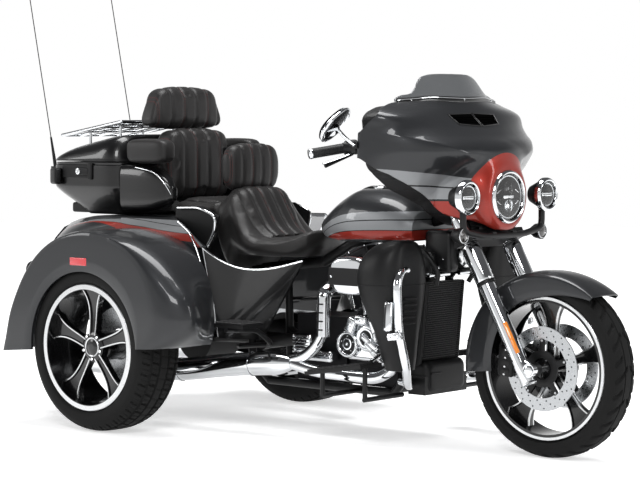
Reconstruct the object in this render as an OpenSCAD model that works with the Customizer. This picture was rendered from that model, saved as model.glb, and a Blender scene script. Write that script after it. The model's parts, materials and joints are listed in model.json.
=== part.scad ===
// Touring motor trike: one steered front wheel, a V-twin engine and two driven rear wheels.
// Millimetres. +X forward, +Y to the rider's left, +Z up. The origin is on the ground, under the
// middle of the overall length, aerial masts included.

/* [Overall] */
// Distance from the rear axle to the front axle
wheelbase = 1690; // [1400:10:2100]
// Width over the rear fenders
body_w = 1400; // [1280:10:1700]
// Distance between the middles of the two rear tyres
track = 1152; // [1130:2:1400]

/* [Wheels] */
// Outer radius of the front tyre
front_r = 319.3; // [300:0.5:390]
// Width of the front tyre
front_w = 130; // [100:1:140]
// Seat radius of the front rim
front_rim_r = 241.3; // [200:0.5:260]
// Outer radius of a rear tyre
rear_r = 325.4; // [290:0.5:340]
// Width of a rear tyre
rear_w = 215; // [170:1:230]
// Seat radius of a rear rim
rear_rim_r = 228.6; // [190:0.5:250]
// Number of spokes in each wheel
spokes = 5; // [4:1:8]
// Radius of the front brake discs
front_disc_r = 150; // [120:1:170]
// Radius of the rear brake discs
rear_disc_r = 146; // [120:1:160]

/* [Steering] */
// Angle of the steering head from the vertical
rake = 26; // [20:0.5:32]
// Distance on the ground from the tyre contact to the steering axis
trail = 97; // [70:1:140]
// Angle of the fork legs from the vertical
fork_angle = 29.25; // [24:0.25:34]
// Half of the distance between the fork legs
leg_y = 122; // [118:1:150]
// Radius of the steering stem
stem_r = 15; // [12:0.5:20]
// Radius of the chromed fork sliders
slider_r = 29; // [24:0.5:31]
// Radius of the fork tubes above the sliders
tube_r = 24.5; // [20:0.5:26]

/* [Fairing and screen] */
// Half width of the batwing fairing
fairing_half_w = 430; // [380:5:480]
// Thickness of the moulded panels
panel_t = 6; // [3:0.5:9]
// Height of the windscreen above the fairing
screen_h = 102; // [60:1:220]

/* [Engine and tank] */
// Angle between the two cylinders
v_angle = 45; // [40:1:60]
// Radius of the cylinder fins
fin_r = 80; // [70:1:88]
// Half width of the fuel tank
tank_half_w = 165; // [130:1:190]
// Radius of the mufflers
muffler_r = 44; // [34:1:50]

/* [Luggage] */
// Width of the luggage box
box_w = 612; // [500:2:700]
// Height of the luggage box below its lid
box_h = 210; // [150:1:260]
// Length of the aerial masts
mast_len = 950; // [400:10:1200]

/* [Hidden] */
$fn = 48;

running = 0.05;         // radial clearance of a shaft in its bore
seat_gap = 0.3;         // gap between pieces that rest on each other
moving_gap = 5;         // gap between pieces that move past each other

// Places along the trike, measured forward of the rear axle
box_rear = -640;        // rear of the luggage box
box_front = -205;       // front of the luggage box
mast_lean = 12.3;       // lean of the aerials behind the vertical
mast_foot = [box_rear - 24, 234, 1000];
tail = mast_foot[0] - mast_len * sin(mast_lean) - 2;
rear_x = -(wheelbase + front_r + tail) / 2;
front_x = rear_x + wheelbase;
rear_z = rear_r;
front_z = front_r;
wheel_y = track / 2;
deck_z = 812;           // height of the deck over the luggage tub

// A point given forward of the rear axle, and one given from the front axle of the nominal trike
nominal_wheelbase = 1690;
function from_rear(p) = [rear_x + p[0], p[1], p[2]];
function from_front(p) = [front_x + p[0] - nominal_wheelbase, p[1], p[2]];
function all_from_rear(points) = [for (p = points) from_rear(p)];
function all_from_front(points) = [for (p = points) from_front(p)];
function flip_y(points) = [for (p = points) [p[0], -p[1], p[2]]];
function mix(a, b, t) = a + (b - a) * t;

// Value at x of a curve through pairs [x, value], eased between them
function curve(t, x) =
    x <= t[0][0] ? t[0][1]
    : x >= t[len(t) - 1][0] ? t[len(t) - 1][1]
    : let (i = [for (k = [0:len(t) - 2]) if (x >= t[k][0] && x <= t[k + 1][0]) k][0],
           s = (x - t[i][0]) / (t[i + 1][0] - t[i][0]))
      mix(t[i][1], t[i + 1][1], s);

// Signed power, for rounded squares
function spow(v, e) = sign(v) * pow(abs(v), e);

// Ring of n points of a rounded square of half sizes a and b; e of 1 is an ellipse
function rounded(a, b, n, e = 0.5) =
    [for (k = [0:n - 1]) [a * spow(cos(360 * k / n), e), b * spow(sin(360 * k / n), e)]];

// One closed solid through rings that all hold the same number of points
module skin(rings) {
    n = len(rings[0]);
    m = len(rings);
    polyhedron(
        points = [for (r = rings) each r],
        faces = concat(
            [for (i = [0:m - 2], j = [0:n - 1]) [i * n + j, (i + 1) * n + (j + 1) % n, i * n + (j + 1) % n]],
            [for (i = [0:m - 2], j = [0:n - 1]) [i * n + j, (i + 1) * n + j, (i + 1) * n + (j + 1) % n]],
            [[for (j = [0:n - 1]) j]],
            [[for (j = [n - 1:-1:0]) (m - 1) * n + j]]),
        convexity = 8);
}

// A sheet between two grids of points of the same size
module slab(outer, inner) {
    m = len(outer);
    n = len(outer[0]);
    c = m * n;
    function at(i, j) = i * n + j;
    polyhedron(
        points = concat([for (r = outer) each r], [for (r = inner) each r]),
        faces = concat(
            [for (i = [0:m - 2], j = [0:n - 2]) [at(i, j), at(i + 1, j + 1), at(i, j + 1)]],
            [for (i = [0:m - 2], j = [0:n - 2]) [at(i, j), at(i + 1, j), at(i + 1, j + 1)]],
            [for (i = [0:m - 2], j = [0:n - 2]) [c + at(i, j), c + at(i, j + 1), c + at(i + 1, j + 1)]],
            [for (i = [0:m - 2], j = [0:n - 2]) [c + at(i, j), c + at(i + 1, j + 1), c + at(i + 1, j)]],
            [for (i = [0:m - 2]) each [
                [at(i, 0), c + at(i, 0), c + at(i + 1, 0)],
                [at(i, 0), c + at(i + 1, 0), at(i + 1, 0)],
                [at(i, n - 1), c + at(i + 1, n - 1), c + at(i, n - 1)],
                [at(i, n - 1), at(i + 1, n - 1), c + at(i + 1, n - 1)]]],
            [for (j = [0:n - 2]) each [
                [at(0, j), c + at(0, j + 1), c + at(0, j)],
                [at(0, j), at(0, j + 1), c + at(0, j + 1)],
                [at(m - 1, j), c + at(m - 1, j), c + at(m - 1, j + 1)],
                [at(m - 1, j), c + at(m - 1, j + 1), at(m - 1, j + 1)]]]),
        convexity = 8);
}

// Round bar from p to q
module rod(p, q, r) {
    v = q - p;
    translate(p)
        rotate([0, acos(v[2] / norm(v)), atan2(v[1], v[0])])
            cylinder(r = r, h = norm(v));
}

// Bent round tube through points; the elbows are a little fatter than the tube
module tube(points, r) {
    elbow = 1.04;
    for (i = [0:len(points) - 2]) rod(points[i], points[i + 1], r);
    for (i = [1:1:len(points) - 2]) translate(points[i]) sphere(r = r * elbow);
}

// Unit vectors across a path, each carried on from the one before
function carried(u, tangents, i = 0) =
    i >= len(tangents) ? []
    : let (v = u - (u * tangents[i]) * tangents[i], w = v / norm(v)) concat([w], carried(w, tangents, i + 1));

// Bent bar in one piece through points, its corners rounded
module swept(points, r, sides = 12) {
    bend = 2.4;
    end = len(points) - 1;
    path = concat([points[0]],
        [for (i = [1:1:end - 1])
            let (b = points[i], back = points[i - 1] - b, on = points[i + 1] - b,
                 cut = min(bend * r, 0.45 * min(norm(back), norm(on))),
                 p = b + back * cut / norm(back), q = b + on * cut / norm(on))
            each [p, (p + 2 * b + q) / 4, q]],
        [points[end]]);
    last = len(path) - 1;
    tangents = [for (i = [0:last])
        let (v = path[min(last, i + 1)] - path[max(0, i - 1)]) v / norm(v)];
    first = tangents[0];
    start = abs(first[2]) > 0.8 ? [1, 0, 0] : [0, 0, 1];
    across = carried(start, tangents);
    skin([for (i = [0:last]) let (u = across[i], w = cross(tangents[i], u))
        [for (k = [0:sides - 1]) let (a = 360 * k / sides) path[i] + r * (cos(a) * u + sin(a) * w)]]);
}

// Copies on the right and on the left
module both_sides() {
    children();
    mirror([0, 1, 0]) children();
}

// Cushion of half sizes h about c, fatter in the middle and narrower on top by taper; its axis is X
module cushion(c, h, square = 0.55, taper = 0, n = 20, m = 8) {
    skin([for (i = [0:m])
        let (a = -84 + 168 * i / m, k = spow(cos(a), 0.45), x = c[0] + h[0] * spow(sin(a), 0.8))
        [for (q = rounded(h[1] * k, h[2] * k, n, square)) [x, c[1] + q[0] * (1 - taper * q[1] / h[2]), c[2] + q[1]]]]);
}

// ---------------------------------------------------------------- wheels

lip_t = 9;              // thickness and height of the rim flanges
lip_h = 15;
front_lip_half = front_w * 0.43;
rear_lip_half = rear_w * 0.474;

// Tyre about the Y axis: tread radius r, width w, bead radius seat
module tyre(r, w, seat, side, lip_half) {
    wall = 9;
    crown = r - side;
    steps = 8;
    outer = [for (k = [0:steps]) let (a = 90 * k / steps)
        [crown + side * spow(sin(a), 0.75), w / 2 * spow(cos(a), 0.6)]];
    inner = [for (k = [0:steps]) let (a = 90 * k / steps)
        [crown + (side - wall) * spow(sin(a), 0.75), (w / 2 - wall) * spow(cos(a), 0.6)]];
    bead = lip_half - lip_t - seat_gap;
    half = concat([[seat + seat_gap, bead], [seat + lip_h + 1, bead], [seat + lip_h + 5, w / 2 - 4]], outer);
    back = concat([[seat + seat_gap, bead - wall - 3], [seat + lip_h + 5, bead - wall]], inner);
    function flip(p) = [for (k = [len(p) - 1:-1:0]) [p[k][0], -p[k][1]]];
    function rev(p) = [for (k = [len(p) - 1:-1:0]) p[k]];
    rotate([90, 0, 0])
        rotate_extrude($fn = 96)
            polygon(concat(
                [for (k = [0:len(half) - 2]) half[k]], flip(half),
                [for (k = [0:len(back) - 2]) [back[k][0], -back[k][1]]], rev(back)));
}

// Rim barrel with its two flanges, about the Y axis
module barrel(seat, lip_half, wall = 7) {
    half = lip_half - lip_t;
    lip = seat + lip_h;
    rotate([90, 0, 0])
        rotate_extrude($fn = 96)
            polygon([[seat - wall, -lip_half], [lip, -lip_half], [lip, -half], [seat, -half],
                [seat, half], [lip, half], [lip, lip_half], [seat - wall, lip_half]]);
}

// Spoke plate in the plane y: a disc with a window between the spokes and a slot in each
module spoke_plate(seat, wall, hub, y, depth) {
    rim_r = seat - wall - 8;
    near = hub + 14;
    pitch = 180 / spokes;
    spoke_half = 36;
    slot_half = 13;
    open = pitch - asin(spoke_half / rim_r);
    translate([0, y, 0]) rotate([90, 0, 0]) difference() {
        cylinder(r = seat - wall + 2, h = depth, center = true, $fn = 96);
        for (k = [0:spokes - 1]) rotate(90 + 2 * pitch * k) translate([0, 0, -depth]) {
            linear_extrude(2 * depth)
                polygon([[near + 14, -3], [rim_r - 3, -slot_half], [rim_r, 0], [rim_r - 3, slot_half], [near + 14, 3]]);
            rotate(pitch) linear_extrude(2 * depth)
                polygon(concat([[near, -7]],
                    [for (a = [-1:0.25:1]) [rim_r * cos(open * a), rim_r * sin(open * a)]],
                    [[near, 7]]));
        }
    }
}

module front_tyre_solid() {
    color("#161616") translate([front_x, 0, front_z]) tyre(front_r, front_w, front_rim_r, 56, front_lip_half);
}

front_hub_r = 42;
front_axle_r = 12.5;
front_hub_half = 60;
front_disc_y = 70;
disc_t = 5;

module front_rim() {
    color("#202022")
    translate([front_x, 0, front_z]) difference() {
        union() {
            barrel(front_rim_r, front_lip_half);
            rotate([90, 0, 0]) cylinder(r = front_hub_r, h = 2 * front_hub_half, center = true);
            spoke_plate(front_rim_r, 7, front_hub_r, 0, 34);
        }
        rotate([90, 0, 0]) cylinder(r = front_axle_r + running, h = 4 * front_hub_half, center = true);
    }
}

// Brake disc about the Y axis, on its carrier, between the hub faces y0 and y0 + disc_t
module disc_ring(r, inner, hub) {
    rotate([90, 0, 0]) difference() {
        union() {
            difference() {
                cylinder(r = r, h = disc_t, center = true, $fn = 96);
                cylinder(r = inner, h = 3 * disc_t, center = true, $fn = 96);
            }
            cylinder(r = hub, h = disc_t, center = true);
            for (k = [0:4]) rotate(72 * k) translate([hub * 0.8, -10, -disc_t / 2]) cube([inner - hub * 0.8 + 4, 20, disc_t]);
        }
        cylinder(r = front_axle_r + 6, h = 3 * disc_t, center = true);
    }
}

module front_discs() {
    color("#c9cbcd")
    translate([front_x, 0, front_z])
        for (side = [-1, 1])
            translate([0, side * (front_hub_half + disc_t / 2 + seat_gap / 3), 0]) {
                disc_ring(front_disc_r, 104, 50);
            }
}

rear_hub_r = 56;
stub_r = 17.5;
stub_in = 395;          // inner end of a wheel's stub shaft, from the middle of the trike
housing_end = 452;      // outer end of the axle housing
rear_disc_y = 500;

module rear_tyre_solid() {
    translate([rear_x, 0, rear_z]) tyre(rear_r, rear_w, rear_rim_r, 66, rear_lip_half);
}

// Wheel, brake disc and stub shaft of one rear corner; outward is -Y
module rear_rim_solid() {
    hub_in = wheel_y - (housing_end + moving_gap);
    translate([rear_x, -wheel_y, rear_z]) {
        barrel(rear_rim_r, rear_lip_half, 8);
        spoke_plate(rear_rim_r, 8, rear_hub_r, -52, 36);
        rotate([90, 0, 0]) translate([0, 0, -hub_in]) cylinder(r = rear_hub_r, h = hub_in + 72);
        translate([0, wheel_y - rear_disc_y, 0]) rotate([90, 0, 0])
            cylinder(r = rear_disc_r, h = disc_t, center = true, $fn = 96);
        rotate([90, 0, 0]) translate([0, 0, -(wheel_y - stub_in)])
            cylinder(r = stub_r, h = wheel_y - stub_in);
    }
}

module right_rear_tyre() { color("#161616") translate([0, -wheel_y, 0]) rear_tyre_solid(); }
module left_rear_tyre() { color("#161616") translate([0, wheel_y, 0]) rear_tyre_solid(); }
module right_rear_rim() { color("#202022") rear_rim_solid(); }
module left_rear_rim() { color("#202022") mirror([0, 1, 0]) rear_rim_solid(); }

// ---------------------------------------------------------------- steering

// Frame of the steering axis: its Z runs up the axis, from the ground
module on_steering_axis() {
    translate([front_x + trail, 0, 0]) rotate([0, -rake, 0]) children();
}

neck_low = 880;         // along the steering axis, from the ground
neck_high = 1042;
neck_r = 31;
yoke_t = 36;
leg_foot = -38;         // fork leg line at axle height, from the axle

// Frame of one fork leg: its Z runs up the leg, from axle height
module on_leg(side) {
    translate([front_x + leg_foot, side * leg_y, front_z]) rotate([0, -fork_angle, 0]) children();
}

leg_top = 745;          // along the leg, from axle height
slider_top = 350;
cover_top = 486;

module yoke_plate(low) {
    difference() {
        on_steering_axis() translate([-46, -leg_y - 34, low]) cube([86, 2 * leg_y + 68, yoke_t]);
        for (side = [-1, 1]) on_leg(side) cylinder(r = tube_r + 0.1, h = leg_top + 200);
    }
}

module yokes() {
    color("#1b1b1c") {
        yoke_plate(neck_low - moving_gap - yoke_t);
        yoke_plate(neck_high + moving_gap);
        // bracket that carries the headlamp and the fairing
        for (side = [-1, 1])
            rod(from_front([1345, side * 28, 955]), from_front([1502 - lamp_depth - seat_gap, side * 28, 955]), 10);
        on_steering_axis()
            translate([0, 0, neck_low - moving_gap - 4])
                cylinder(r = stem_r, h = neck_high - neck_low + 2 * moving_gap + 8);
    }
}

module fork_legs() {
    color("#d8dadc") {
        for (side = [-1, 1]) {
            on_leg(side) {
                translate([0, 0, -58]) cylinder(r = slider_r, h = slider_top + 58);
                translate([0, 0, slider_top - 6]) cylinder(r = slider_r + 3.5, h = cover_top - slider_top + 6);
                translate([0, 0, cover_top - 6]) cylinder(r = tube_r, h = leg_top - cover_top + 6);
            }
            // lug that carries the axle
            translate([front_x, side * (leg_y - 25), front_z]) rotate([side * -90, 0, 0]) cylinder(r = 24, h = 50);
            rod([front_x - 4, side * leg_y, front_z + 2], [front_x + leg_foot, side * leg_y, front_z + 20], 20);
            // post that holds the fender
            fender_post(side);
        }
        translate([front_x, 0, front_z]) rotate([90, 0, 0])
            cylinder(r = front_axle_r, h = 2 * (leg_y + 20), center = true);
    }
}

front_fender_half = front_w / 2 + 18;
post_at = [-172, 240];  // from the axle

module fender_post(side) {
    y0 = front_fender_half + seat_gap;
    translate([front_x + post_at[0], side * y0, front_z + post_at[1]])
        rotate([side * -90, 0, 0]) cylinder(r = 11, h = leg_y - y0);
}

module front_calipers() {
    color("#3a3a3c")
    for (side = [-1, 1]) {
        translate([front_x, side * (front_hub_half + disc_t / 2), front_z])
            rotate([0, -62, 0])
                difference() {
                    translate([-34, -22, 94]) cube([68, 44, 64]);
                    translate([-60, -disc_t / 2 - 2, 60]) cube([120, disc_t + 4, front_disc_r - 60 + 4]);
                }
        // lugs to the slider
        difference() {
            for (p = [[-86, 36], [-104, 78]])
                rod([front_x + p[0], side * 80, front_z + p[1]], [front_x + p[0], side * 110, front_z + p[1]], 9);
            on_leg(side) cylinder(r = slider_r + seat_gap, h = 200);
        }
    }
}

// Front fender: an arched sheet with deep sides, from the nose over the tyre and down behind it
fender_r = front_r + 26;
module front_fender() {
    nose = 50;
    heel = 186;
    steps = 20;
    depth = [[49, 4], [62, 22], [90, 44], [118, 54], [150, 74], [186, 84]];
    droop = [[49, 12], [66, 30], [90, 46]];
    function section(a, inset) = let (
            r = fender_r - inset + 6 * cos(a) * (a < 90 ? 1 : 0),
            half = front_fender_half - inset,
            d = curve(depth, a),
            c = curve(droop, a))
        [for (k = [0:12])
            let (u = -90 + 15 * k, low = abs(u) > 75 ? d : 0)
            [front_x + (r - c * (1 - spow(cos(u), 0.6)) - low) * cos(a),
             half * max(-1, min(1, 1.03 * spow(sin(u), 0.8))),
             front_z + (r - c * (1 - spow(cos(u), 0.6)) - low) * sin(a)]];
    color("#2b2c2e")
    slab([for (i = [0:steps]) section(mix(nose, heel, i / steps), 0)],
         [for (i = [0:steps]) section(mix(nose, heel, i / steps), 4)]);
}

// ---------------------------------------------------------------- fairing

fairing_rear = 1135;    // rear edge of the wings, on the nominal trike
nose_line = [[798, 1340], [860, 1345], [918, 1350], [980, 1385], [1030, 1440], [1079, 1474], [1110, 1456], [1140, 1412], [1204, 1336], [1262, 1290]];
nacelle_x = 1492;       // front of the nacelle round the headlamp
nacelle_in = 104;       // its full radius, and where it has run out into the wings
nacelle_out = 215;
wing_low = [[0, 798], [60, 804], [120, 832], [180, 857], [230, 908], [330, 968], [380, 998], [425, 1042], [430, 1060]];
wing_high = [[0, 1258], [300, 1256], [350, 1241], [395, 1222], [420, 1206], [429, 1188], [430, 1150]];

plan_power = [[1000, 1], [1100, 0.97], [1160, 0.8], [1203, 0.6], [1229, 0.95], [1245, 1.7], [1262, 2.6]];

// Point of the fairing skin at plan angle a (0 is the nose, 90 the wing tip) and share v of its height
function fairing_point(a, v, inset) =
    let (s = sin(a), half = fairing_half_w - inset,
         ref = abs(s) * 430,
         z = mix(curve(wing_low, ref), curve(wing_high, ref), v),
         x0 = curve(nose_line, z),
         wing = fairing_rear + (x0 - fairing_rear) * pow(cos(a), curve(plan_power, z)),
         r = norm([430 * s, z - lamp_z]),
         k = (1 + cos(180 * max(0, min(1, (r - nacelle_in) / (nacelle_out - nacelle_in))))) / 2)
    from_front([wing + max(0, nacelle_x - wing) * k - inset, half * s, z]);

lamp_z = 918;
lamp_ring_r = 97;
lamp_depth = 88;
module fairing() {
    cols = 30;
    rows = 12;
    function grid(inset) = [for (j = [0:rows]) [for (i = [0:cols])
        fairing_point(-88 + 176 * i / cols, j / rows, inset)]];
    color("#2b2c2e")
    difference() {
        slab(grid(0), grid(panel_t));
        translate(from_front([1300, 0, lamp_z])) rotate([0, 90, 0]) cylinder(r = lamp_ring_r + seat_gap, h = 300);
        bar_slots();
    }
}

grip_in = [1004, -330, 1092];
grip_out = [930, -438, 1071];
bar_line = [[1266, -52, 1046], [1250, -150, 1062], [1110, -280, 1094], grip_in, grip_out];
bar_r = 12.7;

module bar_slots() {
    for (flip = [false, true])
        let (p = all_from_front(flip ? flip_y(bar_line) : bar_line))
            for (i = [0:2]) rod(p[i], p[i + 1], bar_r + 10);
}

// Dash panel: hangs from the fairing's upper rim and drops behind the bars
module inner_fairing() {
    back = 1165;
    bend_z = 1095;
    low_z = 975;
    cols = 24;
    rows = 8;
    t = 5;
    rim = 12;
    function p(a, v, off) = let (
            ref = 430 * abs(sin(a)),
            top = curve(wing_high, ref) - rim,
            low = max(low_z, curve(wing_low, ref) + rim),
            z = mix(low, top, v),
            low_edge = curve(wing_low, ref),
            edge = fairing_point(a, (top - low_edge) / (curve(wing_high, ref) - low_edge), panel_t + 2 * seat_gap),
            x = mix(front_x + back - nominal_wheelbase, edge[0], pow(max(0, (z - bend_z) / (top - bend_z)), 1.6)))
        [min(x, edge[0]) - off, edge[1] * 0.985, z];
    color("#141415")
    difference() {
        slab([for (j = [0:rows]) [for (i = [0:cols]) p(-80 + 160 * i / cols, j / rows, 0)]],
             [for (j = [0:rows]) [for (i = [0:cols]) p(-80 + 160 * i / cols, j / rows, t)]]);
        bar_slots();
    }
}

module windscreen() {
    cols = 24;
    rows = 3;
    t = 4;
    base_w = 297;
    lean = 0.55;
    top_shape = [[0, 1], [0.5, 0.97], [0.62, 0.9], [0.76, 0.46], [1, 0.3]];
    function p(u, v, off) = let (
            a = asin(base_w * u / 430),
            foot = fairing_point(a, 1, 2),
            top = screen_h * curve(top_shape, abs(u)))
        [foot[0] - v * top * lean - off, foot[1] * (1 - 0.03 * v), foot[2] + 2.5 * seat_gap + v * top];
    color("#55585b")
    slab([for (j = [0:rows]) [for (i = [0:cols]) p(-1 + 2 * i / cols, j / rows, 0)]],
         [for (j = [0:rows]) [for (i = [0:cols]) p(-1 + 2 * i / cols, j / rows, t)]]);
}

// Lamp about the X axis: bowl, ring and glass, its front at the origin
module lamp(r, depth) {
    rotate([0, 90, 0]) {
        translate([0, 0, -18]) cylinder(r = r, h = 18);
        translate([0, 0, -depth]) cylinder(r1 = r * 0.55, r2 = r - 3, h = depth - 18);
    }
}

module headlamp() {
    color("#d8dadc") translate(from_front([1502, 0, lamp_z])) {
        lamp(lamp_ring_r, lamp_depth);
    }
}

pass_y = 236;
module passing_lamps() {
    bar_z = 792;
    color("#d8dadc") {
        for (side = [-1, 1]) {
            translate(from_front([1503, side * pass_y, 921])) lamp(62, 76);
            tube([for (p = [[1478, side * pass_y, 880], [1478, side * pass_y, bar_z + 10],
                [1478, side * 120, bar_z - 12], [1478, 0, bar_z - 12]]) from_front(p)], 12);
            // bracket to the lower yoke
            translate(from_front([1456, side * 60 - 12, bar_z - 22])) cube([22, 24, 22]);
            // turn lamp below the passing lamp
            translate(from_front([1474, side * pass_y, 786])) lamp(30, 50);
        }
        translate(from_front([1478, 0, bar_z - 12])) rotate([90, 0, 0]) cylinder(r = 12.5, h = 60, center = true);
    }
}

module handlebar() {
    color("#1b1b1c") {
        for (flip = [false, true])
            let (p = all_from_front(flip ? flip_y(bar_line) : bar_line), s = flip ? 1 : -1) {
                swept([for (i = [0:3]) p[i]], bar_r);
                rod(p[3], p[4], 18);
                // switch box and lever bracket, with the lever
                rod(mix(p[2], p[3], 0.62), p[3], 24);
                rod(from_front([1030, s * 320, 1072]), from_front([998, s * 432, 1028]), 7);
                rod(from_front([1030, s * 320, 1072]), mix(p[2], p[3], 0.8), 9);
            }
        rod(from_front([1266, -52, 1046]), from_front([1266, 52, 1046]), bar_r + 0.5);
        // risers on the upper yoke
        for (side = [-1, 1])
            on_steering_axis() translate([-10, side * 40, neck_high + moving_gap + yoke_t + seat_gap]) cylinder(r = 15, h = 84);
    }
}

module mirrors() {
    color("#d8dadc")
    both_sides() {
        translate(from_front([1132, -fairing_half_w - seat_gap - 8, 1094])) cube([18, 8, 20]);
        rod(from_front([1140, -436, 1104]), from_front([1082, -468, 1170]), 6);
        translate(from_front([1080, -470, 1176])) rotate([29, 0, 0]) rotate([0, -64, 0])
            skin([for (i = [0:6]) let (a = -80 + 160 * i / 6, k = spow(cos(a), 0.6))
                [for (q = rounded(46 * k, 90 * k, 20, 0.8)) [q[0], q[1], 13 * sin(a)]]]);
    }
}

// ---------------------------------------------------------------- frame and engine

rail_y = 110;
rail_z = 186;
rail_r = 16;
pivot = [400, 0, 330];
downtube_high = [1150, 97, 612];
downtube_low = [1116, rail_y, 250];
function downtube(z) = mix(downtube_low, downtube_high, (z - downtube_low[2]) / (downtube_high[2] - downtube_low[2]));

module frame() {
    color("#161617")
    difference() {
        union() {
            on_steering_axis() translate([0, 0, neck_low]) cylinder(r = neck_r, h = neck_high - neck_low);
            tube([from_front([1352, 0, 862]), from_front([1170, 0, 824]), from_rear([760, 0, 726]),
                from_rear([620, 0, 650]), from_rear([300, 0, 610])], 20);
            both_sides() {
                tube([from_front([1372, 22, 812]), from_front(downtube_high),
                    from_front(downtube_low), from_front([1056, rail_y, rail_z]),
                    from_rear([432, rail_y, rail_z]), from_rear([341, rail_y, 262]),
                    from_rear([330, rail_y, 560]), from_rear([305, 60, 606]), from_rear([302, 0, 609])], rail_r);
                rod(from_rear([pivot[0], 92, pivot[2]]), from_rear([pivot[0], 124, pivot[2]]), 28);
                rod(from_rear([pivot[0], 108, pivot[2]]), from_rear([336, 108, pivot[2] + 40]), 14);
            }
            // cross tubes under the engine and the gearbox
            rod(from_rear([1000, -rail_y, rail_z]), from_rear([1000, rail_y, rail_z]), 14);
            rod(from_rear([640, -rail_y, rail_z]), from_rear([640, rail_y, rail_z]), 14);
        }
        on_steering_axis() translate([0, 0, neck_low - 20]) cylinder(r = stem_r + running, h = 220);
    }
}

crank = [965, 0, 390];
deck_d = 170;
barrel_top = 268;
head_top = 300;
rocker_top = 336;

// Frame of one cylinder: its Z runs up the bore, from the crank
module on_bore(side) {
    translate(from_rear(crank)) rotate([0, side * v_angle / 2, 0]) children();
}

module crankcase() {
    color("#2a2a2c") {
        translate(from_rear(crank)) rotate([90, 0, 0]) cylinder(r = 124, h = 200, center = true);
        translate(from_rear([880, -95, rail_z + 14 + seat_gap])) cube([180, 190, 120]);
        for (side = [-1, 1]) on_bore(side) translate([0, 0, 60]) cylinder(r = 50, h = deck_d - 60);
        // gearbox behind the crankcase
        translate(from_rear([560, -92, rail_z + 14 + seat_gap])) cube([250, 184, 250]);
        translate(from_rear([800, -80, 250])) cube([100, 160, 160]);
    }
}

module cylinders() {
    pitch = 13;
    fin = 5;
    color("#242426") {
        for (side = [-1, 1]) {
            on_bore(side) {
                translate([0, 0, deck_d + seat_gap])
                    rotate_extrude()
                        polygon(concat([[0, 0]],
                            [for (k = [0:6]) each [[62, k * pitch], [fin_r, k * pitch + 1],
                                [fin_r, k * pitch + fin], [62, k * pitch + fin + 1]]],
                            [[62, barrel_top - deck_d], [0, barrel_top - deck_d]]));
                translate([-72, -78, barrel_top]) cube([144, 156, head_top - barrel_top]);
                translate([-66, -84, head_top - 0.5]) cube([132, 168, rocker_top - head_top]);
            }
        }
        // intake between the cylinders, out to the air cleaner
        translate(from_rear([crank[0] + 10, 40, 600])) rotate([90, 0, 0]) cylinder(r = 34, h = 190);
    }
}

module cam_cover() {
    color("#d8dadc")
    translate(from_rear([crank[0], -100 - seat_gap, crank[2]])) rotate([90, 0, 0]) {
        translate([-6, 4, 0]) cylinder(r = 86, h = 34);
        translate([-6, 4, 33]) cylinder(r = 52, h = 26);
        translate([60, -30, 0]) cylinder(r = 66, h = 26);
    }
}

module primary_cover() {
    y0 = 100 + seat_gap;
    color("#d8dadc")
    translate(from_rear([0, y0, 0])) rotate([-90, 0, 0]) {
        translate([crank[0], -crank[2] + 10, 0]) cylinder(r = 112, h = 78);
        translate([660, -360, 0]) cylinder(r = 100, h = 78);
        translate([660, -460, 0]) cube([crank[0] - 660, 190, 72]);
    }
}

air_c = [1012, 0, 628];
module air_cleaner() {
    y0 = -150;
    color("#d8dadc") {
        translate(from_rear([crank[0] + 10, y0 - seat_gap, 600])) rotate([90, 0, 0]) cylinder(r = 30, h = 78);
        translate(from_rear([air_c[0], -218, air_c[2]])) rotate([90, 0, 0]) {
            translate([-38, 0, 0]) cylinder(r = 80, h = 104);
            translate([30, 0, 0]) cylinder(r = 80, h = 104);
            translate([-38, -79.5, 0]) cube([68, 159, 104]);
        }
    }
}

module exhaust() {
    pipe_r = 21;
    rear_pipe = [[806, -100, 556], [772, -182, 556], [764, -222, 500], [770, -232, 350], [722, -250, 300], [650, -268, 286]];
    front_pipe = [[1078, -84.5, 640], [1090, -128, 634], [1112, -158, 590], [1122, -164, 470], [1112, -168, 290], [1050, -196, 244], [800, -250, 256], [690, -266, 280]];
    muffler = [[690, -266, 282], [420, -292, 262], [120, -312, 216], [-545, -312, 216]];
    color("#d8dadc") {
        swept(all_from_rear(rear_pipe), pipe_r);
        swept(all_from_rear(front_pipe), pipe_r);
        swept(all_from_rear(muffler), muffler_r);
        // crossover to the left muffler
        swept(all_from_rear([[520, -282, 262], [520, -150, 232], [520, 150, 232], [520, 282, 262]]), pipe_r);
        swept(all_from_rear(flip_y([[560, -280, 270], [420, -292, 262], [120, -312, 216], [-545, -312, 216]])), muffler_r);
    }
}

// ---------------------------------------------------------------- tank, seats and panels

tank_rear = 662;
tank_front = 1158;
tank_w = [[0, 0.42], [0.1, 0.7], [0.28, 0.9], [0.5, 1], [0.8, 0.96], [0.93, 0.8], [1, 0.58]];
tank_top = [[0, 806], [0.1, 848], [0.25, 905], [0.42, 938], [0.65, 934], [0.85, 908], [1, 862]];
tank_low = [[0, 762], [0.2, 748], [0.5, 748], [0.8, 770], [1, 800]];
tunnel_half = 30;
tunnel_roof = [[-5, 780], [422, 853], [501, 841.7]];
function tank_ring(t) =
    let (x = mix(rear_x + tank_rear, front_x + tank_front - nominal_wheelbase, t),
         w = tank_half_w * curve(tank_w, t), top = curve(tank_top, t), low = curve(tank_low, t))
    concat(
        [for (k = [0:12]) let (a = -90 + 15 * k)
            [x, w * spow(sin(a), 0.8), mix(low + 30, top, spow(cos(a), 0.7))]],
        [[x, w * 0.86, low], [x, -w * 0.86, low]]);

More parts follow.
